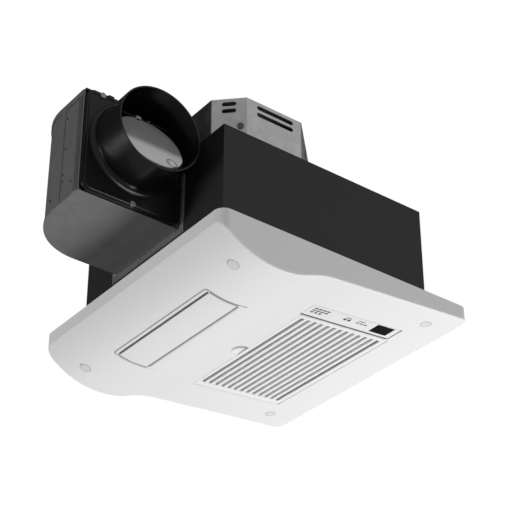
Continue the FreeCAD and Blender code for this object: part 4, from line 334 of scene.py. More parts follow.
# Painted light and shade: the elbow's sheet is darker outwards and lighter towards the casing, where the
# panel shades it
ELBOW_SHEET = LevelFinish("elbow_sheet", grey(0.14), grey(0.33), Pattern.SPANGLE, 100.0, 0.42, 0.55,
                          metallic=0.3, relief=0.02, levels=(ELBOW_LEVEL,), start=0.0, fade=0.035,
                          mark_share=0.35)
EDGE_SHEET = Finish("edge_sheet", grey(0.26), grey(0.18), Pattern.SPANGLE, 160.0, 0.34, 0.46,
                    metallic=0.4, relief=0.02)
FOLD_SHEET = Finish("fold_sheet", grey(0.135), grey(0.09), Pattern.SPANGLE, 160.0, 0.42, 0.55,
                    metallic=0.3, relief=0.02)
# Painted light: a lighter sheet that makes the tab's shaded edges read as lit; the ring round the flap's
# hinge eye wears it too
BRIGHT_EDGE = Finish("bright_edge", grey(0.44, 0.435), grey(0.34, 0.335), Pattern.BRUSHED, 420.0, 0.34, 0.46,
                     metallic=0.2, relief=0.02)
# Painted shade: the flap's upper part is dark and its lower part light
FLAP_SHEET = LevelFinish("flap_sheet", grey(0.95, 0.94), grey(0.25, 0.245), Pattern.SPANGLE, 60.0, 0.35, 0.5,
                         metallic=0.1, relief=0.02, levels=(FLAP_LEVEL,), start=-0.007, fade=0.014,
                         mark_share=0.22)
INNER_SHEET = Finish("inner_sheet", grey(0.48), grey(0.36), Pattern.SPANGLE, 120.0, 0.35, 0.5,
                     metallic=0.8, relief=0.02)

# Screws, shafts and inner parts
ZINC_SCREW = Finish("zinc_screw", (0.62, 0.61, 0.58), (0.48, 0.47, 0.45), Pattern.BRUSHED, 500.0, 0.25, 0.4,
                    metallic=0.9, relief=0.03)
DULL_SCREW = Finish("dull_screw", grey(0.22, 0.215), grey(0.14), Pattern.BRUSHED, 500.0, 0.3, 0.45,
                    metallic=0.8, relief=0.03)
GROUND_STEEL = Finish("ground_steel", grey(0.60, 0.61), grey(0.48, 0.49), Pattern.BRUSHED, 700.0, 0.2, 0.35,
                      metallic=1.0, relief=0.02)
BLACK_OXIDE = Finish("black_oxide", grey(0.012), grey(0.006), Pattern.BRUSHED, 700.0, 0.5, 0.65,
                     metallic=0.1, relief=0.02, gloss=0.15)
DARK_MOULDING = Finish("dark_moulding", grey(0.045, 0.047), grey(0.03, 0.032), Pattern.GRAIN, 800.0,
                       0.45, 0.6, relief=0.03)
GREY_MOULDING = Finish("grey_moulding", (0.42, 0.43, 0.44), (0.36, 0.37, 0.38), Pattern.GRAIN, 800.0,
                       0.4, 0.55, relief=0.03)
NATURAL_ACETAL = Finish("natural_acetal", (0.74, 0.73, 0.68), (0.66, 0.65, 0.6), Pattern.GRAIN, 700.0,
                        0.3, 0.42, relief=0.02)
SOFT_RUBBER = Finish("soft_rubber", grey(0.03), grey(0.018), Pattern.GRAIN, 900.0, 0.65, 0.8, relief=0.06)
SEAL_FOAM = Finish("seal_foam", grey(0.08), grey(0.04), Pattern.GRAIN, 1400.0, 0.8, 0.95, relief=0.3)
CORE_IRON = Finish("core_iron", grey(0.24, 0.26), grey(0.16, 0.17), Pattern.BRUSHED, 900.0, 0.4, 0.55,
                   metallic=0.9, relief=0.05)
ENAMELLED_COPPER = Finish("enamelled_copper", (0.55, 0.24, 0.10), (0.36, 0.14, 0.06), Pattern.BRUSHED, 600.0,
                          0.25, 0.4, metallic=0.9, relief=0.15)
MILL_ALUMINIUM = Finish("mill_aluminium", grey(0.70, 0.71), grey(0.58, 0.59), Pattern.BRUSHED, 500.0,
                        0.3, 0.45, metallic=1.0, relief=0.02)
SOLDER_MASK = Finish("solder_mask", (0.03, 0.17, 0.07), (0.02, 0.12, 0.05), Pattern.GRAIN, 1200.0, 0.25, 0.4,
                     relief=0.02)
FILTER_NET = Finish("filter_net", grey(0.84, 0.845), grey(0.62, 0.625), Pattern.WOVEN, 160.0, 0.7, 0.85,
                    relief=0.2)

# Studio
PALE_FLOOR = Finish("pale_floor", grey(0.86), grey(0.82), Pattern.GRAIN, 3.0, 0.7, 0.85, relief=0.0)

NODE_FINISHES = {
    WHITE_PANEL: ("front_panel", "outlet_frame"),
    WHITE_GRILLE: ("intake_grille",),
    CAP_MOULDING: ("screw_caps",),
    WHITE_LOUVER: ("louver",),
    WHITE_STRIP: ("control_strip",),
    DARK_WINDOW: ("receiver_window",),
    BLACK_PAINT: ("casing",),
    BLACK_MOULDING: ("duct_collar",),
    COVER_SHEET: ("motor_cover",),
    ELBOW_SHEET: ("duct_elbow",),
    INNER_SHEET: ("cover_lugs", "heater_duct", "motor_bracket", "control_box", "control_box_lid",
                  "inlet_ring", "motor_housing", "motor_end_cap"),
    FLAP_SHEET: ("backdraft_flap",),
    ZINC_SCREW: ("panel_screws", "elbow_screws", "collar_screws", "damper_screws",
                 "louver_motor_screws", "motor_screws", "impeller_nut"),
    DULL_SCREW: ("cover_screws",),
    GROUND_STEEL: ("motor_shaft", "motor_bearings", "louver_motor", "thermal_cutout"),
    BLACK_OXIDE: ("backdraft_pin",),
    DARK_MOULDING: ("fan_scroll", "scroll_lid", "impeller", "flow_damper", "heater_frame", "board_parts"),
    GREY_MOULDING: ("damper_motor", "run_capacitor", "filter_frame", "terminal_block"),
    NATURAL_ACETAL: ("louver_gear", "louver_pinion", "louver_bushes"),
    SOFT_RUBBER: ("motor_bushes", "cable_grommet"),
    SEAL_FOAM: ("port_gasket", "outlet_gasket"),
    CORE_IRON: ("stator_core", "rotor_core"),
    ENAMELLED_COPPER: ("stator_windings",),
    MILL_ALUMINIUM: ("heater_bars", "heater_fins"),
    SOLDER_MASK: ("main_board", "display_board"),
    FILTER_NET: ("filter_mesh",),
}


def dress_nodes() -> None:
    """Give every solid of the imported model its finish."""
    for finish, names in NODE_FINISHES.items():
        for name in names:
            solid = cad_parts[name]
            solid.data.materials.clear()
            solid.data.materials.append(finish.material())
    LOG.info("dressed %d solids", len(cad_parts))


def corners(node: str) -> tuple[np.ndarray, np.ndarray]:
    """Lowest and highest corner of a node's box, in millimetres."""
    low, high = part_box(node)
    return np.array(low) / MM, np.array(high) / MM


def put_mesh(name: str, shape: Shape, finish: Finish, body: Body = Body.HOUSING,
             smooth: bool = True) -> None:
    """Make one piece out of arrays, and let it ride on a body.

    Args:
        name: Name of the piece.
        shape: Points in millimetres, shape (n, 3), and arrays of corner indices of its faces.
        finish: Surface finish.
        body: Body that carries the piece.
        smooth: Whether the surface is shaded smooth.
    """
    points, faces = shape
    mesh = bpy.data.meshes.new(name)
    mesh.from_pydata((points * MM).tolist(), [], [face for kind in faces for face in kind.tolist()])
    mesh.validate()
    mesh.update()
    mesh.polygons.foreach_set("use_smooth", np.full(len(mesh.polygons), smooth))
    piece = bpy.data.objects.new(name, mesh)
    bpy.context.scene.collection.objects.link(piece)
    mesh.materials.append(finish.material())
    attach(piece, body.value)
    LOG.info("piece %s: %d points", name, len(points))


def skinned(grid: np.ndarray, closed: bool = False) -> Shape:
    """Cover rows of points, each a closed loop, with faces that look outwards.

    The sum of a . (b x c + c x d) over the faces between the rows has the sign of the volume inside them,
    so a negative sum tells that the faces are inside out.

    Args:
        grid: Points, shape (rows, columns, 3).
        closed: Whether the last row joins the first; otherwise both end rows become caps.

    Returns:
        Points and arrays of faces.
    """
    points = grid.reshape(-1, 3)
    here = np.arange(len(points)).reshape(grid.shape[:2])
    after = np.roll(here, -1, axis=0)
    quads = np.stack([here, after, np.roll(after, -1, axis=1), np.roll(here, -1, axis=1)], axis=-1)
    faces = [quads.reshape(-1, 4)] if closed else [quads[:-1].reshape(-1, 4), here[:1], here[-1:, ::-1]]
    a, b, c, d = np.moveaxis(points[faces[0]] - points.mean(axis=0), 1, 0)
    inside_out = np.sum(a * (np.cross(b, c) + np.cross(c, d))) < 0
    return points, [kind[:, ::-1] if inside_out else kind for kind in faces]


def joined(shapes: list[Shape]) -> Shape:
    """Several shapes as one, with the corner indices of each moved behind those of the ones before it.

    Args:
        shapes: The shapes.

    Returns:
        Points and arrays of faces.
    """
    starts = np.cumsum([0] + [len(points) for points, _ in shapes])
    faces = [kind + start for (_, kinds), start in zip(shapes, starts) for kind in kinds]
    return np.concatenate([points for points, _ in shapes]), faces


def sweep(path: np.ndarray, side: np.ndarray, rise: np.ndarray, profile: np.ndarray,
          closed: bool = False) -> Shape:
    """Carry a closed profile along a path: point = path + u * side + v * rise.

    Args:
        path: Points of the path, shape (n, 3).
        side: Direction of the profile's first coordinate, one for all or shape (n, 3).
        rise: Direction of the profile's second coordinate, one for all or shape (n, 3).
        profile: Closed outline as (u, v) pairs, shape (m, 2).
        closed: Whether the path closes on itself; an open one gets end caps.

    Returns:
        Points and lists of faces, turned outwards.
    """
    side = np.broadcast_to(side, path.shape)
    rise = np.broadcast_to(rise, path.shape)
    grid = path[:, None] + profile[None, :, :1] * side[:, None] + profile[None, :, 1:] * rise[:, None]
    return skinned(grid, closed)


def circle(count: int, radius: float = 1.0) -> np.ndarray:
    """Evenly spaced points round the origin: radius * (cos a, sin a), shape (count, 2)."""
    turn = np.linspace(0, 2 * np.pi, count, endpoint=False)
    return radius * np.stack([np.cos(turn), np.sin(turn)], axis=-1)


def rounded_profile(width: float, height: float, radius: float, steps: int = 4,
                    centre: Pair = (0.0, 0.0)) -> np.ndarray:
    """Closed rectangle with quarter-circle corners.

    Args:
        width: Size along the first coordinate.
        height: Size along the second coordinate.
        radius: Corner radius.
        steps: Points per corner.
        centre: Middle of the rectangle.

    Returns:
        Outline, shape (4 * steps, 2), counter-clockwise.
    """
    quarter = np.linspace(0, np.pi / 2, steps)
    turns = np.concatenate([quarter + k * np.pi / 2 for k in range(4)])
    signs = np.repeat(np.array([[1, 1], [-1, 1], [-1, -1], [1, -1]], float), steps, axis=0)
    middles = np.array(centre) + signs * np.array([width / 2 - radius, height / 2 - radius])
    return middles + radius * np.stack([np.cos(turns), np.sin(turns)], axis=-1)


def rectangle(width: float, height: float, centre: Pair = (0.0, 0.0)) -> np.ndarray:
    """Four corners of a rectangle about its middle, counter-clockwise."""
    return rounded_profile(width, height, radius=0.0, steps=1, centre=centre)


def upright_frame(low: np.ndarray, high: np.ndarray, corner: float, steps: int,
                  y: float) -> tuple[np.ndarray, np.ndarray]:
    """Rectangle with round corners that stands square to Y.

    Args:
        low: Lowest X and Z.
        high: Highest X and Z.
        corner: Corner radius.
        steps: Points per corner.
        y: Where it stands.

    Returns:
        Points of the closed path, and the directions out of the rectangle at them.
    """
    outline = rounded_profile(*(high - low), corner, steps, (low + high) / 2)
    step = np.roll(outline, -1, axis=0) - np.roll(outline, 1, axis=0)
    step /= np.linalg.norm(step, axis=1)[:, None]
    flat = np.zeros(len(outline))
    path = np.stack([outline[:, 0], flat + y, outline[:, 1]], axis=-1)
    return path, np.stack([step[:, 1], flat, -step[:, 0]], axis=-1)


# Share of the quarter turn at which a dome's flat top lies, and the Z share of an axis that counts as upright
DOME_TOP = 0.88
STEEP = 0.9


def domes(centres: np.ndarray, axis: np.ndarray, radius: float, height: float,
          rings: int = 4, spokes: int = 16) -> Shape:
    """Round caps: at share t from rim to top, ring radius = R cos(90 t), height = H sin(90 t).

    Args:
        centres: Middle of each cap's foot, shape (n, 3).
        axis: Unit direction in which the caps stand out.
        radius: Radius at the foot.
        height: Height at the middle.
        rings: Rings from the foot to just below the top.
        spokes: Points per ring.

    Returns:
        Points and faces of all caps.
    """
    side = np.cross(axis, Z_AXIS if abs(axis[2]) < STEEP else X_AXIS)
    side /= np.linalg.norm(side)
    ring = circle(spokes) @ np.stack([side, np.cross(axis, side)])
    share = np.linspace(0, DOME_TOP, rings)[:, None, None] * np.pi / 2
    cap, faces = skinned(radius * np.cos(share) * ring + height * np.sin(share) * axis)
    return joined([(centre + cap, faces) for centre in centres])


def headings(path: np.ndarray) -> np.ndarray:
    """Unit direction along a path at each of its points."""
    along = np.gradient(path, axis=0)
    return along / np.linalg.norm(along, axis=1)[:, None]


@dataclass
class DuctElbow:
    """Folded-sheet details of the elbow: hems, seam, front fold, rivets, lip and the trim along its foot."""

    low: np.ndarray = field(default_factory=lambda: corners("duct_elbow")[0])
    high: np.ndarray = field(default_factory=lambda: corners("duct_elbow")[1])
    collar_low: np.ndarray = field(default_factory=lambda: corners("duct_collar")[0])
    collar_high: np.ndarray = field(default_factory=lambda: corners("duct_collar")[1])
    sheet: float = 1.0
    reach: float = 126.0
    turn_radius: float = 68.0
    turn_points: int = 28
    hem: float = 6.5
    hem_thickness: float = 0.9
    hem_round: float = 0.35
    hem_line: float = 0.8
    line_round: float = 0.2
    seam_width: float = 9.0
    seam_y: float = -10.5
    seam_thickness: float = 0.7
    fold_width: float = 8.0
    strip_thickness: float = 0.8
    strip_round: float = 0.3
    rivet_radius: float = 1.5
    rivet_height: float = 0.7
    rivets: tuple[tuple[float, float], ...] = (
        (-19.0, 152.0), (-19.0, 112.0), (-19.0, 78.0), (-19.0, 69.5), (-36.0, 61.0), (5.5, 58.0))
    lip_depth: float = 2.4
    lip_thickness: float = 1.1
    lip_gap: float = 0.25
    lip_round: float = 0.4
    lip_corner: float = 1.0
    lip_points: int = 6
    tab: float = 11.0
    tab_height: float = 68.0
    tab_edge: float = 1.2
    foot: float = 7.0
    trim_inset: float = 2.0
    trim_gap: float = 0.5
    dimples: tuple[float, ...] = (0.08, 0.44, 0.51, 0.58, 0.95)

    @property
    def near(self) -> float:
        """Y of the elbow's front."""
        return float(self.low[1]) + self.tab

    @property
    def far(self) -> float:
        """Y of the elbow's back."""
        return float(self.high[1]) - self.tab

    @property
    def base(self) -> float:
        """Z of the elbow's underside."""
        return float(self.low[2]) + self.foot

    def wall_path(self, height: float) -> tuple[np.ndarray, np.ndarray]:
        """Plan of the outer wall: a straight side, a quarter circle, a straight back.

        Args:
            height: Level of the path.

        Returns:
            Points of the path and the outward directions, in millimetres.
        """
        left = float(self.low[0])
        turn = np.linspace(np.pi, np.pi / 2, self.turn_points)
        out = np.stack([np.cos(turn), np.sin(turn)], axis=-1)
        middle = np.array([left + self.turn_radius, self.far - self.turn_radius])
        arc = middle + self.turn_radius * out
        plan = np.concatenate([[[left, self.near]], arc, [[left + self.reach, self.far]]])
        away = np.concatenate([[[-1.0, 0.0]], out, [[0.0, 1.0]]])
        flat = np.zeros(len(plan))
        return np.column_stack([plan, flat + height]), np.column_stack([away, flat])

    def strip(self, name: str, ends: np.ndarray, width: float, thickness: float, finish: Finish) -> None:
        """Flat strip that stands out towards -X, carried straight between two places on the elbow's sheet.

        Args:
            name: Name of the piece.
            ends: The middle of the strip's back at both ends, in millimetres.
            width: Width of the strip.
            thickness: How far it stands out.
            finish: Its finish.
        """
        along = (ends[1] - ends[0]) / np.linalg.norm(ends[1] - ends[0])
        profile = rounded_profile(thickness, width, self.strip_round, centre=(thickness / 2, 0.0))
        shape = sweep(ends, -X_AXIS, np.cross(along, -X_AXIS), profile)
        put_mesh(name, shape, finish, smooth=False)

    def build_hems(self) -> None:
        """Folded edges along the top and bottom of the outer wall, and a dark line of painted shade under the
        upper one.

        Each is a rounded strip carried along the wall's plan.
        """
        for name, height, level in (("elbow_top_hem", self.hem, self.high[2] - self.hem / 2),
                                    ("elbow_bottom_hem", self.hem / 2, self.base + self.hem / 4)):
            path, away = self.wall_path(level)
            centre = (self.hem_thickness / 2, 0.0)
            profile = rounded_profile(self.hem_thickness, height, self.hem_round, centre=centre)
            put_mesh(name, sweep(path, away, Z_AXIS, profile), EDGE_SHEET, smooth=False)
        # Painted shade: a black line under the upper hem
        path, away = self.wall_path(self.high[2] - self.hem - self.hem_line / 2)
        profile = rounded_profile(self.hem_line, self.hem_line, self.line_round)
        put_mesh("elbow_hem_line", sweep(path, away, Z_AXIS, profile), BLACK_PAINT)

    def build_seam(self) -> None:
        """Overlap of the wrapper sheet and the fold at its front: flat strips straight up the side wall."""
        left = self.low[0]
        bottom = self.base + self.hem / 2
        top = self.high[2] - self.hem
        fold_y = self.near + self.fold_width / 2
        seam = np.array([[left, self.seam_y, bottom], [left, self.seam_y, top]])
        fold = np.array([[left, fold_y, bottom], [left, fold_y, top]])
        self.strip("elbow_seam", seam, self.seam_width, self.seam_thickness, ELBOW_SHEET)
        self.strip("elbow_front_fold", fold, self.fold_width, self.strip_thickness, FOLD_SHEET)

    def build_rivets(self) -> None:
        """Small round heads on the wall beside the seam."""
        places = np.array(self.rivets)
        centres = np.column_stack([np.full(len(places), self.low[0]), places])
        heads = domes(centres, -X_AXIS, self.rivet_radius, self.rivet_height)
        put_mesh("elbow_rivets", heads, BLACK_PAINT)

    def build_lip(self) -> None:
        """Turned-out edge round the collar's plate: a thin strip carried round a rounded rectangle."""
        clear = self.lip_gap + self.lip_thickness / 2
        path, away = upright_frame(self.collar_low[[0, 2]] - clear, self.collar_high[[0, 2]] + clear,
                                   self.lip_corner, self.lip_points, self.near - self.lip_depth / 2)
        profile = rounded_profile(self.lip_thickness, self.lip_depth, self.lip_round)
        lip = sweep(path, away, Y_AXIS, profile, closed=True)
        put_mesh("elbow_lip", lip, ELBOW_SHEET, smooth=False)

    def build_foot_trim(self) -> None:
        """Doubled edge of the foot strip along the casing, the tab's edges, and the small dimples between."""
        wall = float(self.high[0]) - self.sheet
        first = float(self.low[1]) + self.trim_inset
        last = float(self.high[1]) - self.trim_inset
        width = self.foot / 2 - self.trim_gap
        upper = self.base - width / 2
        for name, level in (("elbow_foot_upper", upper),
                            ("elbow_foot_lower", self.base - self.foot + width / 2)):
            ends = np.array([[wall, first, level], [wall, last, level]])
            self.strip(name, ends, width, self.strip_thickness, EDGE_SHEET)
        # Painted light: the tab's two edges take the lighter bright edge finish, lifting them out of shade
        for name, y in (("elbow_tab_edge", float(self.low[1]) + self.tab_edge / 2),
                        ("elbow_tab_fold", self.near - self.tab_edge / 2)):
            ends = np.array([[wall, y, self.base], [wall, y, self.base + self.tab_height]])
            self.strip(name, ends, self.tab_edge, self.strip_thickness, BRIGHT_EDGE)
        places = first + np.array(self.dimples) * (last - first)
        flat = np.zeros(len(places))
        centres = np.column_stack([flat + wall - self.strip_thickness, places, flat + upper])
        marks = domes(centres, -X_AXIS, width / 3, self.strip_thickness / 2)
        put_mesh("elbow_dimples", marks, BLACK_PAINT)

    def build(self) -> None:
        """Build all the elbow's details."""
        self.build_hems()
        self.build_seam()
        self.build_rivets()
        self.build_lip()
        self.build_foot_trim()


@dataclass
class CollarPlate:
    """Moulded details of the collar's plate: raised border, bead at the collar's root, top edge and clip."""

    low: np.ndarray = field(default_factory=lambda: corners("duct_collar")[0])
    high: np.ndarray = field(default_factory=lambda: corners("duct_collar")[1])
    axis_x: float = -203.0
    axis_z: float = 116.5
    face_y: float = -57.0
    border_inset: float = 3.2
    border_width: float = 2.4
    border_rise: float = 1.0
    border_round: float = 0.7
    border_corner: float = 7.0
    border_points: int = 8
    bead_radius: float = 56.6
    bead_half: float = 0.8
    bead_open: float = 62.0
    bead_points: int = 72
    bead_sides: int = 10
    edge_depth: float = 3.0
    edge_height: float = 2.6
    edge_round: float = 0.3
    edge_setback: float = 2.6
    edge_drop: float = 0.4
    edge_overhang: float = 0.8
    edge_end: float = -150.0
    clip_x: float = -236.0
    clip_width: float = 6.0
    clip_thickness: float = 0.8
    clip_round: float = 0.3
    clip_rise: float = 1.8
    clip_reach: float = 3.0
    clip_leg: float = 3.0
    clip_front: float = 1.0
    clip_points: int = 9

    def build_border(self) -> None:
        """Raised edge of the plate: a low rounded strip carried round a rectangle with round corners."""
        inset = self.border_inset
        path, away = upright_frame(self.low[[0, 2]] + inset, self.high[[0, 2]] - inset,
                                   self.border_corner, self.border_points, self.face_y)
        profile = rounded_profile(self.border_width, 2 * self.border_rise, self.border_round)
        border = sweep(path, away, -Y_AXIS, profile, closed=True)
        put_mesh("collar_border", border, BLACK_MOULDING)

    def build_bead(self) -> None:
        """Bead at the collar's root: a small circle carried round most of a large one, open at the top."""
        gap = math.radians(self.bead_open / 2)
        turn = np.linspace(np.pi / 2 + gap, 5 * np.pi / 2 - gap, self.bead_points)
        out = np.stack([np.cos(turn), np.zeros(len(turn)), np.sin(turn)], axis=-1)
        path = np.array([self.axis_x, self.face_y, self.axis_z]) + self.bead_radius * out
        bead = sweep(path, out, -Y_AXIS, circle(self.bead_sides, self.bead_half))
        put_mesh("collar_bead", bead, BLACK_MOULDING)

    def build_top_edge(self) -> None:
        """Square edge along the plate's top: a bar carried straight from corner to corner."""
        level = [self.face_y + self.edge_setback + self.edge_depth / 2, self.high[2] - self.edge_drop]
        path = np.array([[self.low[0] - self.edge_overhang, *level], [self.edge_end, *level]])
        profile = rounded_profile(self.edge_depth, self.edge_height, self.edge_round)
        edge = sweep(path, Y_AXIS, Z_AXIS, profile)
        put_mesh("collar_top_edge", edge, BLACK_MOULDING, smooth=False)

    def build_clip(self) -> None:
        """Spring clip over the plate's top edge: a flat strip carried along a hook-shaped path."""
        top = float(self.high[2])
        front = self.face_y - self.clip_front
        turn = np.linspace(np.pi, 0, self.clip_points)
        hook = np.column_stack([front + self.clip_reach * (1 - np.cos(turn)),
                                top + self.clip_rise * np.sin(turn)])
        leg = np.array([[front, top - self.clip_leg / 2], [front, top - self.clip_leg]])
        plan = np.concatenate([hook, leg])
        path = np.column_stack([np.full(len(plan), self.clip_x), plan])
        profile = rounded_profile(self.clip_width, self.clip_thickness, self.clip_round)
        clip = sweep(path, X_AXIS, np.cross(X_AXIS, headings(path)), profile)
        put_mesh("collar_clip", clip, BLACK_PAINT, smooth=False)

    def build(self) -> None:
        """Build all the plate's details."""
        self.build_border()
        self.build_bead()
        self.build_top_edge()
        self.build_clip()


@dataclass
class BackdraftFlap:
    """Small pieces on the flap: the stop pad near its lower edge, and the hinge's dome of painted shade, ring
    and sleeve.
    """

    axis_x: float = -203.0
    axis_y: float = -69.5
    axis_z: float = 148.5
    lean: float = 24.0
    half_thickness: float = 0.6
    pad_x: float = -183.0
    pad_drop: float = 71.0
    pad_radius: float = 5.0
    pad_rise: float = 1.6
    pad_ring: float = 6.2
    eye_offset: float = 6.5
    hole_shade_drop: float = 3.6
    hole_shade_radius: float = 2.8
    eye_ring: float = 3.3
    wire: float = 0.9
    wire_flat: float = 0.01
    sleeve_radius: float = 2.9
    sleeve_length: float = 8.0
    ring_points: int = 36
    sleeve_sides: int = 32
    dome_grid: tuple[int, int] = (5, 24)

    def down(self) -> np.ndarray:
        """Direction from the hinge down along the leaning flap."""
        lean = math.radians(self.lean)
        return np.array([0.0, -math.sin(lean), -math.cos(lean)])

    def outward(self) -> np.ndarray:
        """Direction away from the flap's outer face."""
        lean = math.radians(self.lean)
        return np.array([0.0, -math.cos(lean), math.sin(lean)])

    def on_face(self, x: float, drop: float) -> np.ndarray:
        """A point of the flap's outer face at a distance below the hinge."""
        return (np.array([x, self.axis_y, self.axis_z]) + drop * self.down()
                + self.half_thickness * self.outward())

    def ring(self, name: str, centre: np.ndarray, radius: float, finish: Finish) -> None:
        """Thin round wire bent to a circle on the flap: centre + radius * (cos a * X + sin a * down).

        Args:
            name: Name of the piece.
            centre: Middle of the circle.
            radius: Radius of the circle.
            finish: Its finish.
        """
        spoke = circle(self.ring_points) @ np.stack([X_AXIS, self.down()])
        profile = rounded_profile(self.wire, self.wire, self.wire / 2 - self.wire_flat)
        shape = sweep(centre + radius * spoke, spoke, self.outward(), profile, closed=True)
        put_mesh(name, shape, finish, Body.BACKDRAFT)

    def build_pad(self) -> None:
        """Low dome on the flap's outer face with a dark ring around it."""
        foot = self.on_face(self.pad_x, self.pad_drop)
        pad = domes(foot[None], self.outward(), self.pad_radius, self.pad_rise, *self.dome_grid)
        put_mesh("flap_pad", pad, FLAP_SHEET, Body.BACKDRAFT)
        self.ring("flap_pad_ring", foot, self.pad_ring, DULL_SCREW)

    def build_hinge(self) -> None:
        """Dark dome of painted shade with a bright ring below one hinge eye, and a black sleeve around the
        other one.
        """
        # Painted shade: a dark dome where the hinge eye's hole lies in shade
        foot = self.on_face(self.axis_x - self.eye_offset, self.hole_shade_drop)
        hole_shade = domes(foot[None], self.outward(), self.hole_shade_radius, self.wire, *self.dome_grid)
        put_mesh("hinge_hole_shade", hole_shade, BLACK_MOULDING, Body.BACKDRAFT)
        self.ring("hinge_ring", foot, self.eye_ring, BRIGHT_EDGE)
        middle = np.array([self.axis_x + self.eye_offset, self.axis_y, self.axis_z])
        half = self.sleeve_length / 2 * X_AXIS
        sleeve = sweep(np.stack([middle - half, middle + half]), self.down(), self.outward(),
                       circle(self.sleeve_sides, self.sleeve_radius))
        put_mesh("hinge_sleeve", sleeve, BLACK_MOULDING, Body.BACKDRAFT)

    def build(self) -> None:
        """Build the pad and the hinge's pieces."""
        self.build_pad()
        self.build_hinge()


@dataclass
class PanelSkin:
    """Fine details on the panel's wavy skin.

    They are the rims of the screw caps, the outlet's groove, painted slit shade and edge lines, the shadow
    lines and the finger scoop.
    """

    belly_x: float = -94.0
    belly_centre: float = 55.0
    belly_radius: float = 103.0
    slope_start: float = -30.04
    slope: float = math.tan(math.radians(4.75))
    probe: float = 0.1
    cap_x: float = 131.5
    cap_y: float = 139.0
    cap_radius: float = 5.8
    rim: float = 0.42
    rim_points: int = 48
    wire_sides: int = 8
    groove_left: float = -127.5
    groove_right: float = -76.0
    groove_end: float = 87.0
    groove_corner: float = 5.0
    groove_half: float = 0.5
    groove_points: int = 9
    vane_left: float = -121.5
    vane_half: float = 83.0
    throat_right: float = -84.4
    slit_shade_thickness: float = 0.4
    slit_shade_height: float = 2.6
    slit_shade_depth: float = 0.2
    slit_shade_round: float = 0.1
    line_height: float = 0.4
    line_round: float = 0.1
    line_depth: float = 0.12
    edge_dark: float = 1.1
    edge_soft: float = 2.2
    end_line: float = 85.5
    end_half: float = 0.8
    end_depth: float = 0.1
    end_points: int = 24
    shadow_x: float = -3.1
    shadow_width: float = 1.1
    shadow_spans: tuple[tuple[float, float], ...] = ((-88.0, 4.4), (25.6, 113.0))
    joint_width: float = 1.1
    joint_height: float = 0.8
    joint_round: float = 0.02
    joint_proud: float = 0.03
    joint_offset: float = 0.75
    notch_x: float = -6.97
    notch_y: float = 15.0
    notch_radius: float = 10.4
    notch_edge: float = -2.5
    notch_floor: float = 1.8
    notch_skin: float = 0.06
    scoop_end: float = 0.98
    scoop_power: float = 0.8
    scoop_rows: int = 33
    scoop_columns: int = 17

    def skin(self, x: np.ndarray) -> np.ndarray:
        """Height of the skin: a round belly on the duct side, a straight slope on the other.

        Args:
            x: Places across the panel, in millimetres.

        Returns:
            Heights, in millimetres.
        """
        reach = np.clip(x - self.belly_x, -self.belly_radius, self.belly_radius)
        belly = self.belly_centre - np.sqrt(self.belly_radius ** 2 - reach ** 2)
        return np.where(x < 0, belly, self.slope_start + self.slope * x)

    def rail(self, name: str, x: float, span: tuple[float, float], profile: np.ndarray, finish: Finish,
             body: Body = Body.HOUSING) -> None:
        """A profile carried straight along Y on the skin, turned with the skin's slope there.

        Args:
            name: Name of the piece.
            x: Place of the profile's origin across the panel.
            span: First and last place along Y.
            profile: Points across the skin and into the panel, in millimetres.
            finish: Its finish.
            body: The body that it rides.
        """
        before, here, after = self.skin(np.array([x - self.probe, x, x + self.probe]))
        tilt = math.atan2(after - before, 2 * self.probe)
        path = np.array([[x, y, here] for y in span])
        side = np.array([math.cos(tilt), 0.0, math.sin(tilt)])
        rise = np.array([-math.sin(tilt), 0.0, math.cos(tilt)])
        put_mesh(name, sweep(path, side, rise, profile), finish, body, smooth=False)

    def line(self, width: float) -> np.ndarray:
        """Low profile of a shadow line that barely stands out of the skin."""
        return rounded_profile(width, self.line_height, self.line_round, centre=(0.0, self.line_depth))

    def build_rims(self) -> None:
        """Rim: a small circle carried round each cap's outline, which lies on the skin."""
        out = np.column_stack([circle(self.rim_points), np.zeros(self.rim_points)])
        places = [(x, y) for x in (-self.cap_x, self.cap_x) for y in (-self.cap_y, self.cap_y)]
        for number, (x, y) in enumerate(places, start=1):
            path = np.array([x, y, 0.0]) + self.cap_radius * out
            path[:, 2] = self.skin(path[:, 0])
            rim = sweep(path, out, Z_AXIS, circle(self.wire_sides, self.rim), closed=True)
            put_mesh(f"cap_rim_{number}", rim, GREY_MOULDING)

    def build_groove(self) -> None:
        """Shadow groove: a small circle carried along two sides and two corners of the outlet frame.

        A low dark dome closes its end.
        """
        corner = self.groove_corner
        inner = self.groove_left + corner
        reach = self.groove_end - corner
        turn = np.linspace(0, np.pi / 2, self.groove_points)
        first = np.array([inner, reach]) + corner * np.stack([-np.sin(turn), np.cos(turn)], axis=-1)
        second = np.array([inner, -reach]) - corner * np.stack([np.cos(turn), np.sin(turn)], axis=-1)
        straight = np.linspace(inner, self.groove_right, self.groove_points)[1:]
        end = np.column_stack([straight, np.full(len(straight), -self.groove_end)])
        plan = np.concatenate([first, second, end])
        along = headings(plan)
        side = np.column_stack([along[:, 1], -along[:, 0], np.zeros(len(plan))])
        path = np.column_stack([plan, self.skin(plan[:, 0])])
        groove = sweep(path, side, Z_AXIS, circle(self.wire_sides, self.groove_half))
        put_mesh("outlet_groove", groove, GROOVE_LINE)
        stop = domes(path[-1:], -Z_AXIS, 2 * self.groove_half, self.groove_half)
        put_mesh("outlet_groove_stop", stop, SHADOW_LINE)

    def build_outlet_slit_shades(self) -> None:
        """Dark strips of painted shade in the vane's two long slits, two painted shadow lines beside them,
        and the filled joint behind.
        """
        span = (-self.vane_half, self.vane_half)
        depth = self.slit_shade_depth + self.slit_shade_height / 2
        slit_shade = rounded_profile(self.slit_shade_thickness, self.slit_shade_height, self.slit_shade_round, centre=(0.0, depth))
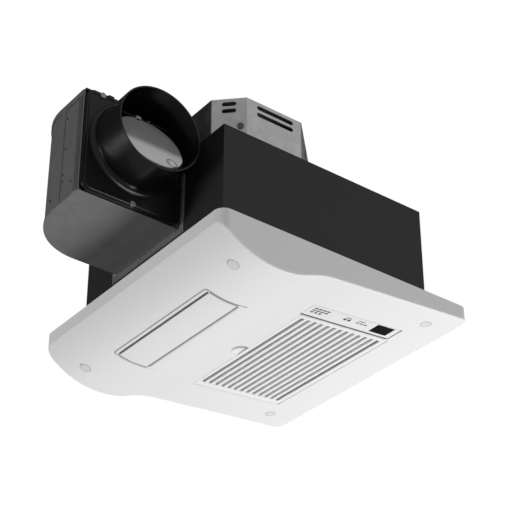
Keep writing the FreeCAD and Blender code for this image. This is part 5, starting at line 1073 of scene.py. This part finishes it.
        # Painted shade: a dark strip in the slit on each long side of the vane
        self.rail("vane_slit_shade", self.vane_left - self.slit_shade_thickness / 2, span, slit_shade, SOFT_RUBBER, Body.LOUVER)
        self.rail("frame_slit_shade", self.throat_right - self.slit_shade_thickness / 2, span, slit_shade, SOFT_RUBBER)
        # Painted shadow: a dark line and a soft grey band on the frame beside the vane
        start = self.throat_right
        for name, width, finish in (("outlet_edge_dark", self.edge_dark, GROOVE_LINE),
                                    ("outlet_edge_soft", self.edge_soft, SOFT_LINE)):
            self.rail(name, start + width / 2, span, self.line(width), finish)
            start += width
        depth = self.joint_height / 2 - self.joint_proud
        joint = rounded_profile(self.joint_width, self.joint_height, self.joint_round, centre=(0.0, depth))
        reach = self.groove_end - self.groove_corner
        self.rail("frame_joint", self.groove_right + self.joint_offset, (-reach, reach), joint, WHITE_PANEL)

    def build_end_lines(self) -> None:
        """Shadow lines along the vane's two ends: a low strip carried along the curve of the skin."""
        x = np.linspace(self.vane_left, self.throat_right, self.end_points)
        centre = (0.0, self.end_depth)
        profile = rounded_profile(2 * self.end_half, self.line_height, self.line_round, centre=centre)
        for name, y in (("outlet_near_line", -self.end_line), ("outlet_far_line", self.end_line)):
            path = np.column_stack([x, np.full(len(x), y), self.skin(x)])
            put_mesh(name, sweep(path, Y_AXIS, Z_AXIS, profile), GROOVE_LINE)

    def build_grille_shadow(self) -> None:
        """Shadow line on the panel along the grille's open edge, on both sides of the finger scoop."""
        for name, span in zip(("grille_shadow_near", "grille_shadow_far"), self.shadow_spans):
            self.rail(name, self.shadow_x, span, self.line(self.shadow_width), SHADOW_LINE)

    def build_scoop(self) -> None:
        """Finger scoop in the notch beside the grille.

        The region is the notch's circle up to the grille's edge. With t from -1 to 1 across it and s from 0
        to 1 towards the grille, the depth is full depth * sqrt(1 - t * t) * sin(s * pi / 2) to the scoop's
        power. The back of the piece lies on the notch's flat floor.
        """
        across = np.linspace(-self.scoop_end, self.scoop_end, self.scoop_rows)[:, None]
        share = np.linspace(0, 1, self.scoop_columns)
        bow = np.sqrt(1 - across ** 2)
        left = self.notch_x - self.notch_radius * bow
        right = np.minimum(self.notch_x + self.notch_radius * bow, self.notch_edge)
        start = left + share * (right - left)
        dish = self.notch_floor * bow * np.sin(share * np.pi / 2) ** self.scoop_power
        floor = np.full_like(dish, self.notch_floor + self.notch_skin)
        start = np.concatenate([start, start[:, ::-1]], axis=1)
        depth = np.concatenate([dish, floor], axis=1)
        tilt = math.atan(self.slope)
        x = start * math.cos(tilt) - depth * math.sin(tilt)
        y = np.broadcast_to(self.notch_y + self.notch_radius * across, x.shape)
        z = self.slope_start + start * math.sin(tilt) + depth * math.cos(tilt)
        # Its finish paints shade: dark at the scoop's rim, light deeper in
        put_mesh("finger_scoop", skinned(np.stack([x, y, z], axis=-1)), SCOOP_SHADE)

    def build(self) -> None:
        """Build all the panel's details."""
        self.build_rims()
        self.build_groove()
        self.build_outlet_slit_shades()
        self.build_end_lines()
        self.build_grille_shadow()
        self.build_scoop()


@dataclass
class SlopeFace:
    """The panel's straight slope, where the grille and the control strip lie.

    Attributes:
        origin: Corner of the receiver window on the skin, in millimetres.
        along: Direction up the slope.
        inward: Direction into the panel.
    """

    origin: np.ndarray
    along: np.ndarray
    inward: np.ndarray

    @classmethod
    def from_window(cls, length: float, thickness: float, proud: float, rounds: int = 20) -> "SlopeFace":
        """Read the slope from the box of the receiver window, a flat plate laid on it.

        The plate's box is length * cos + thickness * sin wide and length * sin + thickness * cos high,
        so the slope angle is found from its height by a few rounds of substitution.

        Args:
            length: The plate's length along the slope.
            thickness: The plate's thickness.
            proud: How far the plate stands out of the skin.
            rounds: Rounds of substitution.

        Returns:
            The slope's frame.
        """
        low, high = corners("receiver_window")
        angle = 0.0
        for _ in range(rounds):
            angle = math.asin((high[2] - low[2] - thickness * math.cos(angle)) / length)
        along = np.array([math.cos(angle), 0.0, math.sin(angle)])
        inward = np.array([-math.sin(angle), 0.0, math.cos(angle)])
        corner = low + thickness * math.sin(angle) * X_AXIS
        return cls(corner + proud * inward, along, inward)

    def slabs(self, centres: np.ndarray, extents: np.ndarray, outer: float, inner: float) -> Shape:
        """Flat boxes laid on the slope: a rectangle of each extent, carried from one depth to the other.

        Args:
            centres: Middles of the boxes along the slope and along Y, shape (n, 2).
            extents: Sizes of the boxes along the slope and along Y, shape (n, 2).
            outer: Depth of the outer faces.
            inner: Depth of the inner faces.

        Returns:
            Points and faces of all boxes.
        """
        path = self.origin + np.outer([outer, inner], self.inward)
        return joined([sweep(path, self.along, Y_AXIS, rectangle(*extent, centre))
                       for centre, extent in zip(centres, extents)])


@dataclass(frozen=True)
class MarkGroup:
    """Equal printed marks at every crossing of some rows and columns.

    Attributes:
        columns: Places along the strip.
        rows: Places across the strip.
        size: Length and width of one mark.
    """

    columns: tuple[float, ...]
    rows: tuple[float, ...]
    size: tuple[float, float]

    def centres(self) -> np.ndarray:
        """Middles of the marks, row by row, shape (n, 2)."""
        return np.stack(np.meshgrid(self.columns, self.rows), axis=-1).reshape(-1, 2)


@dataclass
class ControlStrip:
    """Plain printed marks on the control strip beside the receiver window, and the strip's shadow lines."""

    window_length: float = 24.3
    thickness: float = 1.5
    proud: float = 0.3
    groups: tuple[MarkGroup, ...] = (
        MarkGroup((-84.0, -78.5, -73.0, -67.5), (4.4, 8.6), (4.6, 2.2)),
        MarkGroup((-84.0, -78.5, -73.0), (12.8,), (3.4, 2.8)),
        MarkGroup((-41.0, -35.5), (8.6,), (4.0, 3.4)),
        MarkGroup((-38.0,), (4.4,), (7.0, 1.4)),
        MarkGroup((-23.0, -17.5, -12.0), (8.6,), (4.0, 2.0)),
        MarkGroup((-20.0,), (4.4,), (9.0, 1.4)),
    )
    mark_rise: float = 0.06
    mark_root: float = 0.2
    strip_length: float = 123.0
    strip_depth: float = 22.0
    strip_margin: float = 7.0
    window_inset: float = 0.8
    lower_line: float = 2.8
    end_line: float = 2.0
    line_rise: float = 0.12
    line_root: float = 0.3

    def face(self) -> SlopeFace:
        """The slope under the strip."""
        return SlopeFace.from_window(self.window_length, self.thickness, self.proud)

    def build_marks(self) -> None:
        """Rows of short bars and square dots, evenly spaced, in three places."""
        centres = [group.centres() for group in self.groups]
        extents = [np.full(places.shape, group.size) for places, group in zip(centres, self.groups)]
        marks = self.face().slabs(np.concatenate(centres), np.concatenate(extents),
                                  -self.proud - self.mark_rise, self.mark_root - self.proud)
        put_mesh("strip_marks", marks, PRINTED_MARK, smooth=False)

    def build_edge(self) -> None:
        """Shadow lines along the strip's lower and outer edges: two long flat boxes."""
        length, depth = self.strip_length, self.strip_depth
        end = self.window_length + self.strip_margin
        centres = np.array([[end - length / 2, depth - self.window_inset + self.lower_line / 2],
                            [end + self.end_line / 2, depth / 2 - self.window_inset]])
        extents = np.array([[length, self.lower_line], [self.end_line, depth + self.lower_line]])
        lines = self.face().slabs(centres, extents, -self.line_rise, self.line_root)
        put_mesh("strip_edge", lines, SHADOW_LINE, smooth=False)

    def build(self) -> None:
        """Build the marks and the shadow lines."""
        self.build_marks()
        self.build_edge()


@dataclass
class FilterCloth:
    """Fine net stretched across the filter's rim, under the coarse support net."""

    rim: float = 3.0
    start_gap: float = 0.6
    depth: float = 3.6
    thickness: float = 0.3

    def build(self, face: SlopeFace) -> None:
        """One flat box that fills the rim.

        Args:
            face: The slope.
        """
        low, high = (corner - face.origin for corner in corners("filter_frame"))
        first = np.array([low[0] / face.along[0] + self.start_gap, low[1]]) + self.rim
        last = np.array([high[0] / face.along[0], high[1]]) - self.rim
        back = self.depth + self.thickness
        cloth = face.slabs((first + last)[None] / 2, (last - first)[None], self.depth, back)
        put_mesh("filter_cloth", cloth, FILTER_NET, Body.GRILLE, smooth=False)


@dataclass(frozen=True)
class SoftLight:
    """One soft square light.

    Attributes:
        name: Name of the light.
        place: Where it stands, in metres.
        power: Its power in watts.
        side: Its side in metres.
    """

    name: str
    place: tuple[float, float, float]
    power: float
    side: float

    def add(self, aim: tuple[float, float, float]) -> None:
        """Put the light into the scene.

        Args:
            aim: The point that it looks at, in metres.
        """
        data = bpy.data.lights.new(self.name, "AREA")
        data.energy = self.power
        data.size = self.side
        light = bpy.data.objects.new(self.name, data)
        light.location = self.place
        light.visible_camera = False
        light.rotation_euler = (Vector(aim) - Vector(self.place)).to_track_quat("-Z", "Y").to_euler()
        bpy.context.scene.collection.objects.link(light)


@dataclass
class Studio:
    """Pale floor, soft lights, white surroundings and the camera."""

    camera_place: tuple[float, float, float] = (-0.9202, -1.2092, -0.8622)
    azimuth: float = -37.37
    elevation: float = -32.03
    lens: float = 109.54
    sensor: float = 36.0
    nearest: float = 0.05
    farthest: float = 50.0
    floor_level: float = -4.0
    floor_size: float = 16.0
    white: tuple[float, float, float, float] = (1.0, 1.0, 1.0, 1.0)
    surround_light: float = 0.28
    dark_side: tuple[float, float, float] = (-0.4, 0.85, 0.3)
    dark_share: float = 0.1
    dark_start: float = 0.1
    dark_full: float = 0.6
    aim: tuple[float, float, float] = (0.0, 0.0, 0.05)
    lights: tuple[SoftLight, ...] = (
        SoftLight("key_below", (0.85, 0.05, -1.28), 24.0, 1.2),
        SoftLight("front_fill", (0.6, -2.3, -0.1), 11.6, 1.0),
        SoftLight("duct_side", (-1.95, 0.7, -0.5), 19.5, 0.8),
    )

    def build_floor(self) -> None:
        """Level square under the object."""
        plan = rectangle(self.floor_size, self.floor_size)
        points = np.column_stack([plan, np.full(len(plan), self.floor_level)])
        mesh = bpy.data.meshes.new("floor")
        mesh.from_pydata(points.tolist(), [], [(0, 1, 2, 3)])
        floor = bpy.data.objects.new("floor", mesh)
        mesh.materials.append(PALE_FLOOR.material())
        bpy.context.scene.collection.objects.link(floor)

    def build_surroundings(self) -> None:
        """White to the eye, dimmer as a light, and dimmest from the back, as if a dark screen stood there."""
        world = bpy.data.worlds.new("studio")
        world.use_nodes = True
        tree = world.node_tree
        seen = tree.nodes["Background"]
        connect(tree, seen, {"Color": self.white, "Strength": 1.0})
        direction = add_node(tree, "TexCoord", {}).outputs["Generated"]
        facing = add_node(tree, "VectorMath", {0: direction, 1: self.dark_side}, operation="DOT_PRODUCT")
        strength = add_node(tree, "MapRange", {
            "Value": facing.outputs["Value"],
            "From Min": self.dark_start,
            "From Max": self.dark_full,
            "To Min": self.surround_light,
            "To Max": self.surround_light * self.dark_share,
        }, interpolation_type="SMOOTHSTEP")
        lit = add_node(tree, "Background", {"Color": self.white, "Strength": strength.outputs["Result"]})
        rays = add_node(tree, "LightPath", {})
        choose = add_node(tree, "MixShader", {"Fac": rays.outputs["Is Camera Ray"],
                                              1: lit.outputs["Background"],
                                              2: seen.outputs["Background"]})
        connect(tree, tree.nodes["World Output"], {"Surface": choose.outputs["Shader"]})
        bpy.context.scene.world = world
        bpy.context.scene.view_settings.view_transform = "Standard"

    def build_camera(self) -> None:
        """Camera at the photograph's place: back = (sin a cos e, -cos a cos e, sin e)."""
        turn, tilt = math.radians(self.azimuth), math.radians(self.elevation)
        back = Vector((math.sin(turn) * math.cos(tilt), -math.cos(turn) * math.cos(tilt), math.sin(tilt)))
        right = (-back).cross(Vector(Z_AXIS)).normalized()
        up = back.cross(right)
        data = bpy.data.cameras.new("camera")
        data.lens = self.lens
        data.sensor_width = self.sensor
        data.clip_start = self.nearest
        data.clip_end = self.farthest
        camera = bpy.data.objects.new("camera", data)
        camera.matrix_world = (Matrix.Translation(Vector(self.camera_place))
                               @ Matrix((right, up, back)).transposed().to_4x4())
        bpy.context.scene.collection.objects.link(camera)
        bpy.context.scene.camera = camera

    def build(self) -> None:
        """Set the whole studio up."""
        self.build_floor()
        self.build_surroundings()
        for light in self.lights:
            light.add(self.aim)
        self.build_camera()
        LOG.info("studio ready")


def main() -> None:
    """Build the studio, then dress the object piece by piece."""
    logging.basicConfig(level=logging.INFO)
    Studio().build()
    dress_nodes()
    DuctElbow().build()
    CollarPlate().build()
    BackdraftFlap().build()
    PanelSkin().build()
    strip = ControlStrip()
    strip.build()
    FilterCloth().build(strip.face())


if __name__ == "__main__":
    main()
